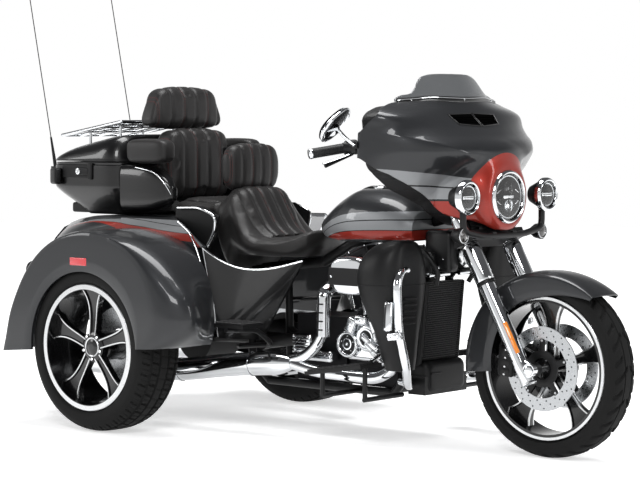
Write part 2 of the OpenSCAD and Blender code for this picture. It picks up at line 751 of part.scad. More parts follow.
module fuel_tank() {
    steps = 14;
    color("#2b2c2e") difference() {
        skin([for (i = [steps:-1:0]) tank_ring(i / steps)]);
        // tunnel over the backbone
        translate(from_rear([tank_rear, tunnel_half, 0])) rotate([90, 0, 0]) linear_extrude(2 * tunnel_half)
            polygon(concat([[501, 700], [-5, 700]], tunnel_roof));
    }
}

// Side plates and shelf that carry the passenger's seat
base_in = 262;
base_rear = 75;
module seat_base() {
    color("#161617") {
        both_sides() translate(from_rear([0, -base_in, 0])) rotate([90, 0, 0]) linear_extrude(panel_t)
            polygon([[base_rear + seat_gap, 856], [223, 860], [309, 824], [298, 762], [250, 690], [base_rear + seat_gap, 690]]);
        translate(from_rear([base_rear + seat_gap, -base_in - 1, deck_z - panel_t - 0.5]))
            cube([119, 2 * base_in + 2, panel_t]);
    }
}

seat_top = [[-55, 868], [0, 872], [150, 868], [200, 884], [238, 916], [286, 908], [330, 842], [384, 768], [450, 738], [540, 744], [620, 776], [654, 792]];
seat_low = [[-55, deck_z + seat_gap], [196, deck_z + seat_gap], [206, 700], [300, 668], [560, 668], [654, 724]];
seat_w = [[-55, 150], [0, 190], [150, 196], [220, 178], [300, 196], [400, 218], [500, 204], [580, 160], [654, 88]];
module seat() {
    stations = [-55, -30, 0, 60, 120, 170, 196, 210, 238, 262, 286, 310, 335, 360, 390, 420, 460, 500, 540, 580, 615, 640, 654];
    function ring(x) = let (w = curve(seat_w, x), top = curve(seat_top, x), low = curve(seat_low, x))
        [for (q = rounded(w, (top - low) / 2, 20, 0.6)) [rear_x + x, q[0], (top + low) / 2 + q[1]]];
    color("#1e1c1c") skin([for (x = stations) ring(x)]);
}

module rider_backrest() {
    color("#1e1c1c") {
        cushion(from_rear([226, 0, 1012]), [44, 142, 88]);
        for (y = [-40, 40])
            rod(from_rear([222, y, curve(seat_top, 231) - 0.8]), from_rear([222, y, 950]), 9);
    }
}

// Big side cover: runs in from the front edge of the rear body to the frame below the tank
cover_rear_low = [437, -404, 372];
cover_rear_high = [352, -404, 716];
cover_front_low = [470, -196, 352];
cover_front_high = [648, -150, 664];
module side_covers() {
    rows = 8;
    cols = 8;
    t = 4;
    function p(u, v, off) = let (
            back = mix(cover_rear_low, cover_rear_high, v),
            front = mix(cover_front_low, cover_front_high, v),
            dip = 58 * sin(180 * u) * v)
        from_rear([mix(back[0], front[0], pow(u, 1.15)), mix(back[1], front[1], u) - 24 * sin(180 * u) + off, mix(back[2], front[2], u) - dip]);
    color("#131314")
    both_sides() {
        slab([for (i = [0:rows]) [for (j = [0:cols]) p(j / cols, i / rows, 0)]],
             [for (i = [0:rows]) [for (j = [0:cols]) p(j / cols, i / rows, t)]]);
        tube(all_from_rear([[333, -rail_y - rail_r - seat_gap, 480], [333, -170, 480], [446, -339, 480]]), 9);
    }
}

guard_r = 16;
guard_line = [[1181, -106.5, 640], [1182, -130, 640], [1250, -200, 676], [1284, -350, 690], [1292, -380, 640], [1292, -376, 450], [1284, -320, 310], [1232, -250, 238], [1190, -170, 232], [1116, -143, 236]];

module engine_guard() {
    color("#d8dadc")
    both_sides() tube(all_from_front(guard_line), guard_r);
}

// One lower fairing pod: plan outline at height z, right side
shield_scale = [[300, 0.5], [340, 0.66], [420, 0.84], [560, 0.97], [680, 1], [735, 0.86], [762, 0.5]];
shield_plan = [[1108, -380], [1140, -402], [1200, -410], [1258, -392], [1284, -340], [1284, -250], [1262, -186], [1232, -176], [1196, -200], [1180, -280], [1156, -340]];
module leg_shields() {
    levels = [300, 318, 340, 380, 420, 490, 560, 620, 680, 710, 735, 752, 762];
    centre = [1262, -290];
    function ring(z) = let (k = curve(shield_scale, z))
        [for (p = shield_plan) from_front([centre[0] + (p[0] - centre[0]) * k, centre[1] + (p[1] - centre[1]) * k, z])];
    color("#222325")
    both_sides() difference() {
        skin([for (z = levels) ring(z)]);
        tube(all_from_front(guard_line), guard_r + seat_gap);
    }
}

module oil_cooler() {
    core_back = rail_r + 12;
    core_t = 28;
    core_w = 224;
    function edge(z, off) = [downtube(z)[0] + off, z];
    color("#19191a") {
        // finned core ahead of the downtubes
        translate(from_front([0, core_w / 2, 0])) rotate([90, 0, 0]) linear_extrude(core_w)
            polygon([edge(292, core_back), edge(292, core_back + core_t), edge(602, core_back + core_t), edge(602, core_back)]);
        // moulded box below it
        translate(from_front([1133, -124, rail_z + 4])) cube([79, 248, 69]);
        // rubber mounts on the downtubes
        for (side = [-1, 1], z = [330, 560])
            rod(from_front([downtube(z)[0] + rail_r + 1, side * downtube(z)[1], z]),
                from_front([downtube(z)[0] + core_back + 1, side * downtube(z)[1], z]), 8);
    }
}

module footboards() {
    color("#1b1b1c")
    both_sides() {
        // rider's board on two posts
        translate(from_rear([1012, -350, 292])) rotate([0, -9, 0]) translate([-135, -60, -7]) cube([270, 120, 14]);
        for (x = [905, 1108]) {
            rod(from_rear([x, -rail_y - rail_r - seat_gap, rail_z]), from_rear([x, -346, rail_z]), 9);
            rod(from_rear([x, -340, rail_z]), from_rear([x, -340, 292 + (x - 1012) * tan(9)]), 9);
        }
        // passenger's board on its arm
        translate(from_rear([478, -472, 420])) cube([150, 116, 14]);
        swept(all_from_rear([[330, -rail_y - rail_r - seat_gap, 316], [330, -190, 316], [540, -214, 340], [540, -300, 400], [540, -470, 412]]), 10);
    }
}

// ---------------------------------------------------------------- rear body

side_in = 423.5;        // inner face of the body sides
tub_front = -60;
tub_low = 400.8;
tub_floor = 440;
body_rear = -588;
door_low = 448;
tub_x = [body_rear, -520, -430, -267, tub_front];

// Half sections of the trunk at those places, from the top middle down the side
tub_sections = [
    [[0, 776], [179, 776], [236, 757], [284, 716], [330, 664], [372, 606], [405, 540]],
    [[0, 788], [205, 788], [275, 770], [330, 736], [375, 694], [405, 645], [420, 560]],
    [[0, 800], [240, 800], [320, 784], [375, 756], [410, 718], [428, 668], [430, 560]],
    [[0, deck_z], [300, deck_z], [360, 804], [405, 786], [426, 762], [429.7, 720], [430, 560]],
    [[0, deck_z], [300, deck_z], [370, 811], [410, 807], [427, 798], [429.7, 770], [430, 560]]];

// Closed ring of a half section at x, drawn in by wall, with its bottom at low
function tub_ring(x, half, wall, low) = let (
        n = len(half) - 1,
        side = [for (q = half) [max(0, q[0] - wall), q[1] - wall]],
        foot = [half[n][0] - wall, low])
    concat([[rear_x + x, foot[0], foot[1]]],
        [for (k = [n:-1:0]) [rear_x + x, side[k][0], side[k][1]]],
        [for (k = [1:n]) [rear_x + x, -side[k][0], side[k][1]]],
        [[rear_x + x, -foot[0], foot[1]]]);

// Deck ahead of the trunk: its front edge runs out to the sides
deck_edge = [[75, 269], [160, 346], [246, 427]];
slope_low = [[250, 269, 700], [300, 346, 708], [343, 427, 716]];

module rear_body() {
    wall = 9;
    last = len(tub_x) - 1;
    sink = 0.5;
    color("#232426") {
        difference() {
            skin([for (i = [0:last]) tub_ring(tub_x[i], tub_sections[i], 0, tub_low)]);
            skin(concat([tub_ring(body_rear - 10, tub_sections[0], wall, tub_floor)],
                [for (i = [0:last]) tub_ring(tub_x[i] - (i == last ? wall : 0), tub_sections[i], wall, tub_floor)]));
        }
        translate(from_rear([0, 0, deck_z - panel_t - sink])) linear_extrude(panel_t)
            polygon(concat([[tub_front - 2, -427]], [for (k = [2:-1:0]) [deck_edge[k][0], -deck_edge[k][1]]],
                deck_edge, [[tub_front - 2, 427]]));
        both_sides() {
            translate(from_rear([0, -side_in, 0])) rotate([90, 0, 0]) linear_extrude(panel_t)
                polygon([[tub_front - 10, 436], [320, 348], [452, 348], [445, 432], [439, 501], [343, 717],
                    [313, 766], [246, deck_z - sink], [tub_front - 10, 790]]);
            // slope from the deck down to the side covers
            slab([[for (k = [2:-1:0]) from_rear([slope_low[k][0], -slope_low[k][1], slope_low[k][2]])],
                  [for (k = [2:-1:0]) from_rear([deck_edge[k][0] - 3, -deck_edge[k][1], deck_z - 2])]],
                 [[for (k = [2:-1:0]) from_rear([slope_low[k][0] - 4, -slope_low[k][1], slope_low[k][2] - 5])],
                  [for (k = [2:-1:0]) from_rear([deck_edge[k][0] - 7, -deck_edge[k][1], deck_z - 7])]]);
            // hinge pins of the trunk door
            rod(from_rear([hinge_x, -296, hinge_z]), from_rear([hinge_x, -244, hinge_z]), 4);
            for (y = [-300, -246]) translate(from_rear([hinge_x - 7, y - 5, hinge_z - 7])) cube([body_rear - hinge_x + 9, 8, 14]);
        }
    }
}

hinge_x = body_rear - moving_gap - 17;
hinge_z = 426;
door_side = [for (q = tub_sections[0]) [max(0, q[0] - 5), q[1] - 5]];
door_outline = concat([[door_side[6][0], door_low]], [for (k = [6:-1:0]) door_side[k]],
    [for (k = [1:6]) [-door_side[k][0], door_side[k][1]]], [[-door_side[6][0], door_low]]);
module trunk_door() {
    t = 22;
    x0 = body_rear - moving_gap - t;
    color("#232426")
    difference() {
        union() {
            translate(from_rear([x0, 0, 0])) rotate([90, 0, 90]) linear_extrude(t)
                polygon(door_outline);
            both_sides() rod(from_rear([hinge_x, -288, hinge_z]), from_rear([hinge_x, -254, hinge_z]), 9);
            both_sides() translate(from_rear([hinge_x - 5, -288, hinge_z])) cube([12, 34, door_low - hinge_z + 2]);
        }
        both_sides() rod(from_rear([hinge_x, -320, hinge_z]), from_rear([hinge_x, -230, hinge_z]), 4 + running);
        // holes for the licence plate
        for (y = [-73, 73], z = [-35, 35])
            translate(from_rear([x0 - 1, y, plate_z + z])) rotate([0, 90, 0]) cylinder(r = 3.4, h = t + 2);
    }
}
plate_z = 560;

// Rear fender: a face round the arch, and a shoulder that runs forward and in to the body.
// Each table gives a radius from the axle, or a distance from the middle, against the angle
arch_r = 292;
face_r = [[3, 306], [10, 352], [20, 398], [29, 420], [42, 444], [54, 452], [67, 450], [90, 438], [120, 427],
    [150, 414], [165, 420], [178, 431], [185, 448]];
edge_r = [[3, 424], [8, 490], [12, 519], [21, 531], [32, 514], [45, 500], [58, 483], [73, 458], [90, 450], [120, 443],
    [150, 441], [165, 451], [178, 465], [185, 483]];
join_r = [[3, 424], [13, 458], [22, 473], [35, 495], [49, 500], [60, 480], [73, 458], [90, 449], [120, 443],
    [150, 441], [165, 451], [178, 465], [185, 483]];
edge_in = [[3, 96], [73, 96], [90, 75], [120, 44], [185, 44]];
module rear_fenders() {
    half = body_w / 2;
    steps = 26;
    arc = 4;
    inner_y = side_in + panel_t + 2 * seat_gap;
    function place(r, y, a) = [rear_x + r * cos(a), -y, rear_z + r * sin(a)];
    function section(a, t) = let (
            f = curve(face_r, a), e = curve(edge_r, a), j = curve(join_r, a), w = curve(edge_in, a))
        concat(
            [place(arch_r, half - t, a), place(mix(arch_r, f, 0.55), half - t, a)],
            [for (k = [0:arc]) let (b = 90 * k / arc)
                place(f + (e - f) * sin(b) - t * sin(b), half - w + w * cos(b) - t * cos(b), a)],
            [place(mix(e, j, 0.5) - t, (half - w + inner_y) / 2, a), place(j - t, inner_y, a)]);
    function sheet(t) = [for (i = [0:steps]) section(mix(3, 185, i / steps), t)];
    color("#232426") both_sides() slab(sheet(0), sheet(panel_t));
}

module tail_lamps() {
    color("#8c1216")
    both_sides() translate(from_rear([-356.8, -560, 600])) rotate([0, 90, 0]) {
        translate([0, 0, -80]) cylinder(r = 32, h = 52);
        translate([0, 0, -30]) cylinder(r = 14, h = 30);
    }
}

module axle_housing() {
    caliper_x = 128;
    color("#19191a")
    difference() {
        union() {
            translate([rear_x, 0, rear_z]) rotate([90, 0, 0]) {
                cylinder(r = 96, h = 176, center = true);
                cylinder(r = 36, h = 2 * housing_end - 20, center = true);
            }
            both_sides() {
                translate([rear_x, -housing_end, rear_z]) rotate([-90, 0, 0]) cylinder(r = 62, h = 18);
                translate([rear_x + 30, -housing_end, rear_z - 24]) cube([caliper_x + 20, 12, 48]);
                // caliper around the disc
                difference() {
                    translate([rear_x + 106, -rear_disc_y - 24, rear_z - 40]) cube([62, rear_disc_y + 24 - housing_end + 12, 80]);
                    translate([rear_x + 60, -rear_disc_y - disc_t / 2 - 2, rear_z - 60]) cube([rear_disc_r - 60 + 6, disc_t + 4, 120]);
                }
            }
        }
        translate([rear_x, 0, rear_z]) rotate([90, 0, 0]) cylinder(r = stub_r + running, h = 2 * housing_end + 40, center = true);
    }
}

module swingarm() {
    color("#19191a") {
        rod(from_rear([pivot[0], -91.7, pivot[2]]), from_rear([pivot[0], 91.7, pivot[2]]), 26);
        both_sides() swept(all_from_rear([[pivot[0], -66, pivot[2]], [220, -66, 334], [96 + 2 * seat_gap, -66, rear_z]]), 18);
        // air shock from the arm to the frame
        both_sides() rod(from_rear([150, -66, 345]), from_rear([290, -66, 560]), 24);
    }
}

// ---------------------------------------------------------------- luggage

seam_z = deck_z + 4 + box_h;
box_low = deck_z + seat_gap;

// Plan ring of the box at height z, wall inset i
function box_ring(z, i) = let (
        t = (z - box_low) / box_h,
        half = mix(box_w / 2 - 62, box_w / 2, min(1, 1.9 * t)) - i,
        back = mix(box_rear + 150, box_rear, min(1, 1.9 * t)) + i,
        front = box_front - i)
    [for (q = rounded((front - back) / 2, half, 24, 0.34)) [rear_x + (front + back) / 2 + q[0], q[1], z]];

module luggage_box() {
    wall = 5;
    color("#1d1e20") {
        skin([for (z = [box_low, box_low + 30, box_low + 70, box_low + 120, box_low + box_h]) box_ring(z, 0),
            for (z = [box_low + box_h, box_low + 120, box_low + 70, box_low + 8]) box_ring(z, wall)]);
        // hinge pins of the lid, on the left
        for (x = [-520, -330]) {
            rod(from_rear([x - 26, lid_hinge_y, lid_hinge_z]), from_rear([x + 26, lid_hinge_y, lid_hinge_z]), 4);
            for (s = [-28, 20]) translate(from_rear([x + s, box_w / 2 - 2, lid_hinge_z - 20])) cube([8, lid_hinge_y - box_w / 2 + 8, 26]);
        }
    }
}

lid_hinge_y = box_w / 2 + 14;
lid_hinge_z = box_low + box_h - 2;
lid_z0 = box_low + box_h + moving_gap;
lid_rear_h = 22;
lid_front_h = 118;

// Ring of the lid: share t of its height, which grows towards the front
function lid_ring(t, i) = let (
        half = (box_w / 2 + 2) * (1 - 0.14 * t * t) - i,
        back = box_rear + 4 + 60 * t * t + i,
        front = box_front - 6 - 20 * t - i)
    [for (q = rounded((front - back) / 2, half, 24, 0.34))
        let (x = (front + back) / 2 + q[0], s = (x - box_rear) / (box_front - box_rear))
        [rear_x + x, q[1], lid_z0 + t * mix(lid_rear_h, lid_front_h, pow(s, 0.8)) - i * t]];

module luggage_lid() {
    wall = 5;
    steps = [0, 0.35, 0.62, 0.82, 0.94, 1];
    color("#1d1e20")
    difference() {
        union() {
            skin(concat(
                [for (k = [0:len(steps) - 2]) lid_ring(steps[len(steps) - 2 - k], wall)],
                [for (t = steps) lid_ring(t, 0)]));
            for (x = [-520, -330]) {
                rod(from_rear([x - 18, lid_hinge_y, lid_hinge_z]), from_rear([x + 18, lid_hinge_y, lid_hinge_z]), 9);
                translate(from_rear([x - 18, box_w / 2 - 8, lid_z0 + 0.5])) cube([36, 24, 8]);
                translate(from_rear([x - 18, lid_hinge_y - 2, lid_hinge_z])) cube([36, 8, lid_z0 - lid_hinge_z + 8]);
            }
        }
        for (x = [-520, -330]) rod(from_rear([x - 40, lid_hinge_y, lid_hinge_z]), from_rear([x + 40, lid_hinge_y, lid_hinge_z]), 4 + running);
    }
}

// Height of the lid's top at x
function lid_top(x) = lid_z0 + mix(lid_rear_h, lid_front_h, pow((x - box_rear) / (box_front - box_rear), 0.8));

module luggage_rack() {
    r = 6.5;
    back = -652;
    front = -300;
    z_back = 1130;
    z_front = 1186;
    color("#d8dadc") {
        for (y = [-205, -105, 0, 105, 205]) rod(from_rear([back, y, z_back]), from_rear([front, y, z_front]), r);
        for (x = [back, -420, front]) let (z = mix(z_back, z_front, (x - back) / (front - back)))
            rod(from_rear([x, -205, z]), from_rear([x, 205, z]), r + 0.4);
        for (x = [-540, -360], y = [-150, 150]) let (z = mix(z_back, z_front, (x - back) / (front - back)))
            rod(from_rear([x, y, lid_top(x) + seat_gap]), from_rear([x, y, z + 2]), r - 0.5);
        for (x = [-540, -360]) let (z = mix(z_back, z_front, (x - back) / (front - back)))
            rod(from_rear([x, -160, z]), from_rear([x, 160, z]), r - 0.3);
    }
}

module headrest() {
    color("#1e1c1c") {
        cushion(from_rear([-158, 0, 1244.5]), [52, 187, 78.5], 0.45, 0.12);
        for (y = [-60, 60]) tube(all_from_rear([[-300 + 6.9 + seat_gap, y, 1188], [-232, y, 1214], [-196, y, 1236]]), 8);
    }
}

module speaker_pods() {
    color("#1d1e20")
    both_sides() {
        skin([for (i = [0:6]) let (s = i / 6, x = mix(box_front - 2.4, 34, s), k = spow(1 - pow(s, 3), 0.5), h = max(k, 0.3))
            [for (q = rounded(52 * h, 82 * h, 16, 0.5)) from_rear([x, -box_w / 2 + 58 + q[0], 934 + q[1] + 14 * (1 - h)])]]);
        // padded armrest above the speaker
        skin([for (i = [0:6]) let (s = i / 6, x = mix(box_front + 2, 38, s), k = spow(1 - pow(s, 4), 0.5), h = max(k, 0.4))
            [for (q = rounded(48 * h, 54 * h, 16, 0.6)) from_rear([x, -box_w / 2 + 58 + q[0], 934 + 82 + seat_gap + 54 + q[1]])]]);
    }
}

module passenger_backrest() {
    color("#1e1c1c") {
        cushion(from_rear([-96, 0, 1016]), [62, 178, 144]);
        translate(from_rear([box_front + seat_gap, -120, 880])) cube([58, 240, 130]);
    }
}

module aerials() {
    color("#141415")
    both_sides() {
        translate(from_rear([mast_foot[0], -mast_foot[1], mast_foot[2]])) rotate([0, -mast_lean, 0]) cylinder(r = 2, h = mast_len);
        translate(from_rear([mast_foot[0], -mast_foot[1], mast_foot[2]])) rotate([0, -mast_lean, 0]) translate([0, 0, -4]) cylinder(r1 = 8, r2 = 4, h = 130);
        translate(from_rear([mast_foot[0] - 12, -mast_foot[1] - 14, mast_foot[2] - 28])) cube([42.4, 28, 30]);
    }
}

module front_tyre() { front_tyre_solid(); }

frame();
crankcase();
cylinders();
cam_cover();
primary_cover();
air_cleaner();
exhaust();
fuel_tank();
seat_base();
seat();
rider_backrest();
side_covers();
leg_shields();
engine_guard();
oil_cooler();
footboards();
rear_body();
rear_fenders();
tail_lamps();
axle_housing();
swingarm();
luggage_box();
speaker_pods();
passenger_backrest();
aerials();
trunk_door();
luggage_lid();
luggage_rack();
headrest();
yokes();
fork_legs();
front_calipers();
front_fender();
handlebar();
fairing();
inner_fairing();
windscreen();
headlamp();
passing_lamps();
mirrors();
front_tyre();
front_rim();
front_discs();
right_rear_tyre();
right_rear_rim();
left_rear_tyre();
left_rear_rim();
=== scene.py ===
# %% [markdown]
# # A full-dress touring trike over its CAD frame
# The CAD model gives every size and every moving body. This script adds what the eye looks for:
# lacquer with stripes, sewn leather, chrome, cut tyre treads and machined wheels. Each new piece is a
# surface worked out with numpy, which takes the place of its plain CAD solid and rides on its body.

# %% Load the frame
import json
import bmesh
import bpy
import numpy as np
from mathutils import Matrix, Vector


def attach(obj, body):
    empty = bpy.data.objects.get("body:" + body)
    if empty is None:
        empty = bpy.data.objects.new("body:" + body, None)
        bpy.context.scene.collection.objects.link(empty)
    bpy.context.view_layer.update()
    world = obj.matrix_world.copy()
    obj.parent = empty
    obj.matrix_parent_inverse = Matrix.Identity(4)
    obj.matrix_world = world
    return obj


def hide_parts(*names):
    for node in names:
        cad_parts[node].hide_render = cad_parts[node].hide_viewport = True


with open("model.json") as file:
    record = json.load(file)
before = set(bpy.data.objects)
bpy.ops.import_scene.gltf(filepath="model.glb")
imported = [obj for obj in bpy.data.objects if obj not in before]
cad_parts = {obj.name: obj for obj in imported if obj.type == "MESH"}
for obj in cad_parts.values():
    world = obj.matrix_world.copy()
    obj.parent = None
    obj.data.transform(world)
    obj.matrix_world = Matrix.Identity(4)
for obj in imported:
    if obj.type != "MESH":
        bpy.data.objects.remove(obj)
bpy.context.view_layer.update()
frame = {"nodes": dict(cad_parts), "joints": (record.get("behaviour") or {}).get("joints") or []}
JOINTS = {j["name"]: np.array(j["pos_m"]) for j in frame["joints"]}
REAR = JOINTS["right_wheel_spin"]
FRONT = JOINTS["front_wheel_spin"]
print("wheelbase", round(float(FRONT[0] - REAR[0]), 3), "m")

# %% [markdown]
# Sizes below are in millimetres, and X is measured forward of the rear axle, the way a workshop
# drawing would do it. One function turns such points into metres in the frame.

# %% Places
MM = 0.001
AHEAD, ACROSS, UPRIGHT, RIGHT = (1, 0, 0), (0, 1, 0), (0, 0, 1), (0, -1, 0)


def place(points):
    """Millimetres forward of the rear axle, turned into metres in the frame."""
    return (np.asarray(points, float) + [REAR[0] / MM, 0, 0]) * MM


def curve(table, x):
    """Smooth curve through pairs (place, value): a cubic between each two pairs. The slope at a
    pair is the mean of its neighbours' slopes, or level where the curve turns round."""
    t = np.array(table, float)
    X, Y = t[:, 0], t[:, 1]
    d = np.diff(Y) / np.diff(X)
    m = np.concatenate([d[:1], np.where(d[1:] * d[:-1] > 0, (d[1:] + d[:-1]) / 2, 0), d[-1:]])
    x = np.asarray(x, float)
    i = np.clip(np.searchsorted(X, x, side="right") - 1, 0, len(X) - 2)
    h = X[i + 1] - X[i]
    s = np.clip((x - X[i]) / h, 0, 1)
    return ((2 * s**3 - 3 * s**2 + 1) * Y[i] + (s**3 - 2 * s**2 + s) * h * m[i]
            + (3 * s**2 - 2 * s**3) * Y[i + 1] + (s**3 - s**2) * h * m[i + 1])


def spow(v, e):
    """Power that keeps the sign, which squares off a cosine."""
    return np.sign(v) * np.abs(v) ** e


def unit(v):
    """Vectors of length one, along the last axis."""
    v = np.asarray(v, float)
    return v / np.maximum(np.linalg.norm(v, axis=-1, keepdims=True), 1e-12)


# %% [markdown]
# ## Shapes
# A shape is a pair: its points and its faces. Grids make sheets and tubes, a profile turned round an
# axis makes lamps and wheels, and a rounded rectangle carried along a line makes blocks. All of them
# are whole arrays, so nothing here visits one point at a time.

# %% Grids, tubes, turned shapes and blocks
def skin(P, round_u=False, round_v=False, caps=False):
    """Faces between the lines of a grid of points. A round grid joins its last line to its first,
    and caps close both ends of a tube whose rings run along v."""
    nu, nv = P.shape[:2]
    i, j = np.meshgrid(np.arange(nu if round_u else nu - 1), np.arange(nv if round_v else nv - 1), indexing="ij")
    k, l = (i + 1) % nu, (j + 1) % nv
    F = np.stack([i * nv + j, k * nv + j, k * nv + l, i * nv + l], -1).reshape(-1, 4).tolist()
    if caps:
        F += [list(range(nv))[::-1], list(range((nu - 1) * nv, nu * nv))]
    return P.reshape(-1, 3), F


def uv(nu, nv, u=(0, 1), v=(0, 1)):
    """Two parameters on a grid of nu by nv points."""
    return np.meshgrid(np.linspace(*u, nu), np.linspace(*v, nv), indexing="ij")


def bent(points, r=30, n=5):
    """Path through points with round corners: each corner is cut back by r and bridged by the curve
    (1-t)^2 a + 2t(1-t) b + t^2 c."""
    P = np.asarray(points, float)
    out, t = [P[:1]], np.linspace(0, 1, n)[:, None]
    for a, b, c in zip(P[:-2], P[1:-1], P[2:]):
        cut = min(r, 0.48 * np.linalg.norm(a - b), 0.48 * np.linalg.norm(c - b))
        p, q = b + unit(a - b) * cut, b + unit(c - b) * cut
        out.append((1 - t) ** 2 * p + 2 * t * (1 - t) * b + t**2 * q)
    return np.concatenate(out + [P[-1:]])


def tube(path, r, sides=14, up=UPRIGHT, flat=1.0):
    """Circle of radius r carried square to a path. One axis of each ring is up with its part along
    the path taken away, and the other is square to both; flat squeezes the first."""
    P = np.asarray(path, float)
    t = unit(np.gradient(P, axis=0))
    n = unit(np.asarray(up, float) - (t @ np.asarray(up, float))[:, None] * t)
    b = np.cross(t, n)
    a = np.linspace(0, 2 * np.pi, sides, endpoint=False)
    R = np.broadcast_to(np.asarray(r, float).reshape(-1, 1, 1), (len(P), 1, 1))
    ring = np.cos(a)[None, :, None] * n[:, None] * flat + np.sin(a)[None, :, None] * b[:, None]
    return skin(place(P[:, None] + R * ring), False, True, True)


def basis(axis):
    """Two directions square to an axis and to each other."""
    w = unit(axis)
    u = unit(np.cross([0, 0, 1], w)) if abs(w[2]) < 0.9 else unit(np.cross(w, [0, 1, 0]))
    return u, np.cross(w, u), w


def turned(profile, centre, axis=AHEAD, sides=48):
    """Profile of pairs (distance along the axis, radius), each swept in a circle round the axis."""
    p = np.asarray(profile, float)
    u, v, w = basis(axis)
    a = np.linspace(0, 2 * np.pi, sides, endpoint=False)
    ring = np.cos(a)[:, None, None] * u + np.sin(a)[:, None, None] * v
    return skin(place(np.asarray(centre, float) + p[None, :, :1] * w + p[None, :, 1:] * ring), True, False)


def outline(a, b, edge, n=5):
    """Rectangle of half sizes a and b with corners rounded to the radius edge."""
    t = np.linspace(0, np.pi / 2, n)
    q = np.concatenate([t + k * np.pi / 2 for k in range(4)])
    sx = np.repeat([1, -1, -1, 1], n)
    sy = np.repeat([1, 1, -1, -1], n)
    return np.stack([sx * (a - edge) + edge * np.cos(q), sy * (b - edge) + edge * np.sin(q)], -1)


def block(centre, size, edge=3, axis=AHEAD, turn=0, n=4):
    """Box with rounded edges: a rounded rectangle carried along the axis, drawn in by a quarter
    circle at both ends. Its sizes are across, up and along the axis."""
    u, v, w = basis(axis)
    c, s = np.cos(np.radians(turn)), np.sin(np.radians(turn))
    u, v = c * u + s * v, c * v - s * u
    a, b, h = np.asarray(size, float) / 2
    edge = min(edge, a * 0.98, b * 0.98, h * 0.98)
    t = np.linspace(0, np.pi / 2, n)
    inset = np.concatenate([edge * (1 - np.sin(t)), edge * (1 - np.sin(t))[::-1]])
    along = np.concatenate([-h + edge * (1 - np.cos(t)), (h - edge * (1 - np.cos(t)))[::-1]])
    o = outline(a, b, edge, n)
    k = 1 - inset[:, None] / np.array([a, b])[None]
    P = (o[None, :, :1] * k[:, None, :1]) * u + (o[None, :, 1:] * k[:, None, 1:]) * v + along[:, None, None] * w
    return skin(place(np.asarray(centre, float) + P), False, True, True)


def studs(points, axis, r=5, h=4, sides=6):
    """The same small dome-topped bolt head on each of many points."""
    P = np.atleast_2d(np.asarray(points, float))
    u, v, w = basis(axis)
    a = np.linspace(0, 2 * np.pi, sides, endpoint=False)
    ring = np.cos(a)[:, None] * u + np.sin(a)[:, None] * v
    levels = np.array([[0, 1], [0.75, 1], [1, 0.72], [1, 0.01]])
    T = levels[:, 0, None, None] * h * w + levels[:, 1, None, None] * r * ring
    one = skin(T, False, True)[1]
    n = T.shape[0] * T.shape[1]
    V = place((P[:, None] + T.reshape(1, -1, 3)).reshape(-1, 3))
    F = (np.array(one)[None] + (np.arange(len(P)) * n)[:, None, None]).reshape(-1, 4).tolist()
    return V, F


def flipped(shape):
    """The same shape on the other side of the trike."""
    return shape[0] * [1, -1, 1], shape[1]


def both(shapes):
    """Shapes and their mirror images."""
    return list(shapes) + [flipped(s) + tuple(s[2:]) for s in shapes]


def of(shape, index):
    """A shape that takes the piece's finish of that number."""
    return shape[0], shape[1], index


# %% Pieces
def piece(name, shapes, finishes, body, replaces=(), band=None, patch=None, sharp=38):
    """One object from shapes: their points are stacked, and each shape's faces count on from the last."""
    starts = np.cumsum([0] + [len(s[0]) for s in shapes])
    V = np.concatenate([s[0] for s in shapes])
    F = [[i + a for i in f] for s, a in zip(shapes, starts) for f in s[1]]
    M = np.concatenate([np.full(len(s[1]), s[2] if len(s) > 2 else 0) for s in shapes])
    mesh = bpy.data.meshes.new(name)
    mesh.from_pydata(V.tolist(), [], F)
    mesh.polygons.foreach_set("material_index", M.astype(np.int32))
    for key, values in (("band", band), ("patch", patch)):
        if values is not None:
            carried = mesh.attributes.new(key, "FLOAT", "POINT")
            carried.data.foreach_set("value", np.asarray(values, np.float32).ravel())
    bm = bmesh.new()
    bm.from_mesh(mesh)
    bmesh.ops.remove_doubles(bm, verts=bm.verts, dist=2e-6)
    bmesh.ops.recalc_face_normals(bm, faces=bm.faces)
    bm.to_mesh(mesh)
    bm.free()
    mesh.polygons.foreach_set("use_smooth", np.ones(len(mesh.polygons), bool))
    mesh.set_sharp_from_angle(angle=np.radians(sharp))
    ob = bpy.data.objects.new(name, mesh)
    bpy.context.scene.collection.objects.link(ob)
    for f in finishes if isinstance(finishes, (list, tuple)) else [finishes]:
        mesh.materials.append(f)
    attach(ob, body)
    if replaces:
        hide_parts(*([replaces] if isinstance(replaces, str) else replaces))
    print(f"{name}: {len(mesh.polygons)} faces")
    return ob

# %% [markdown]
# ## Finishes
# Every finish starts from the real stuff: what it is and how its surface was made. Colours are
# written as sRGB hex, as a paint chart would give them, and one function turns them linear.

# %% Colour and nodes
def colour(hexa):
    """sRGB hex to linear red, green, blue and a full alpha, by the standard curve."""
    c = np.array([int(hexa[i:i + 2], 16) for i in (1, 3, 5)]) / 255
    return (*np.where(c <= 0.04045, c / 12.92, ((c + 0.055) / 1.055) ** 2.4).tolist(), 1.0)


def add(mat, kind, sockets=None, **settings):
    """One node of a kind, with its settings; each named socket takes a link or a value."""
    n = mat.node_tree.nodes.new("ShaderNode" + kind)
    for key, value in settings.items():
        setattr(n, key, value)
    for key, value in (sockets or {}).items():
        if isinstance(value, bpy.types.NodeSocket):
            mat.node_tree.links.new(value, n.inputs[key])
        else:
            n.inputs[key].default_value = value
    return n


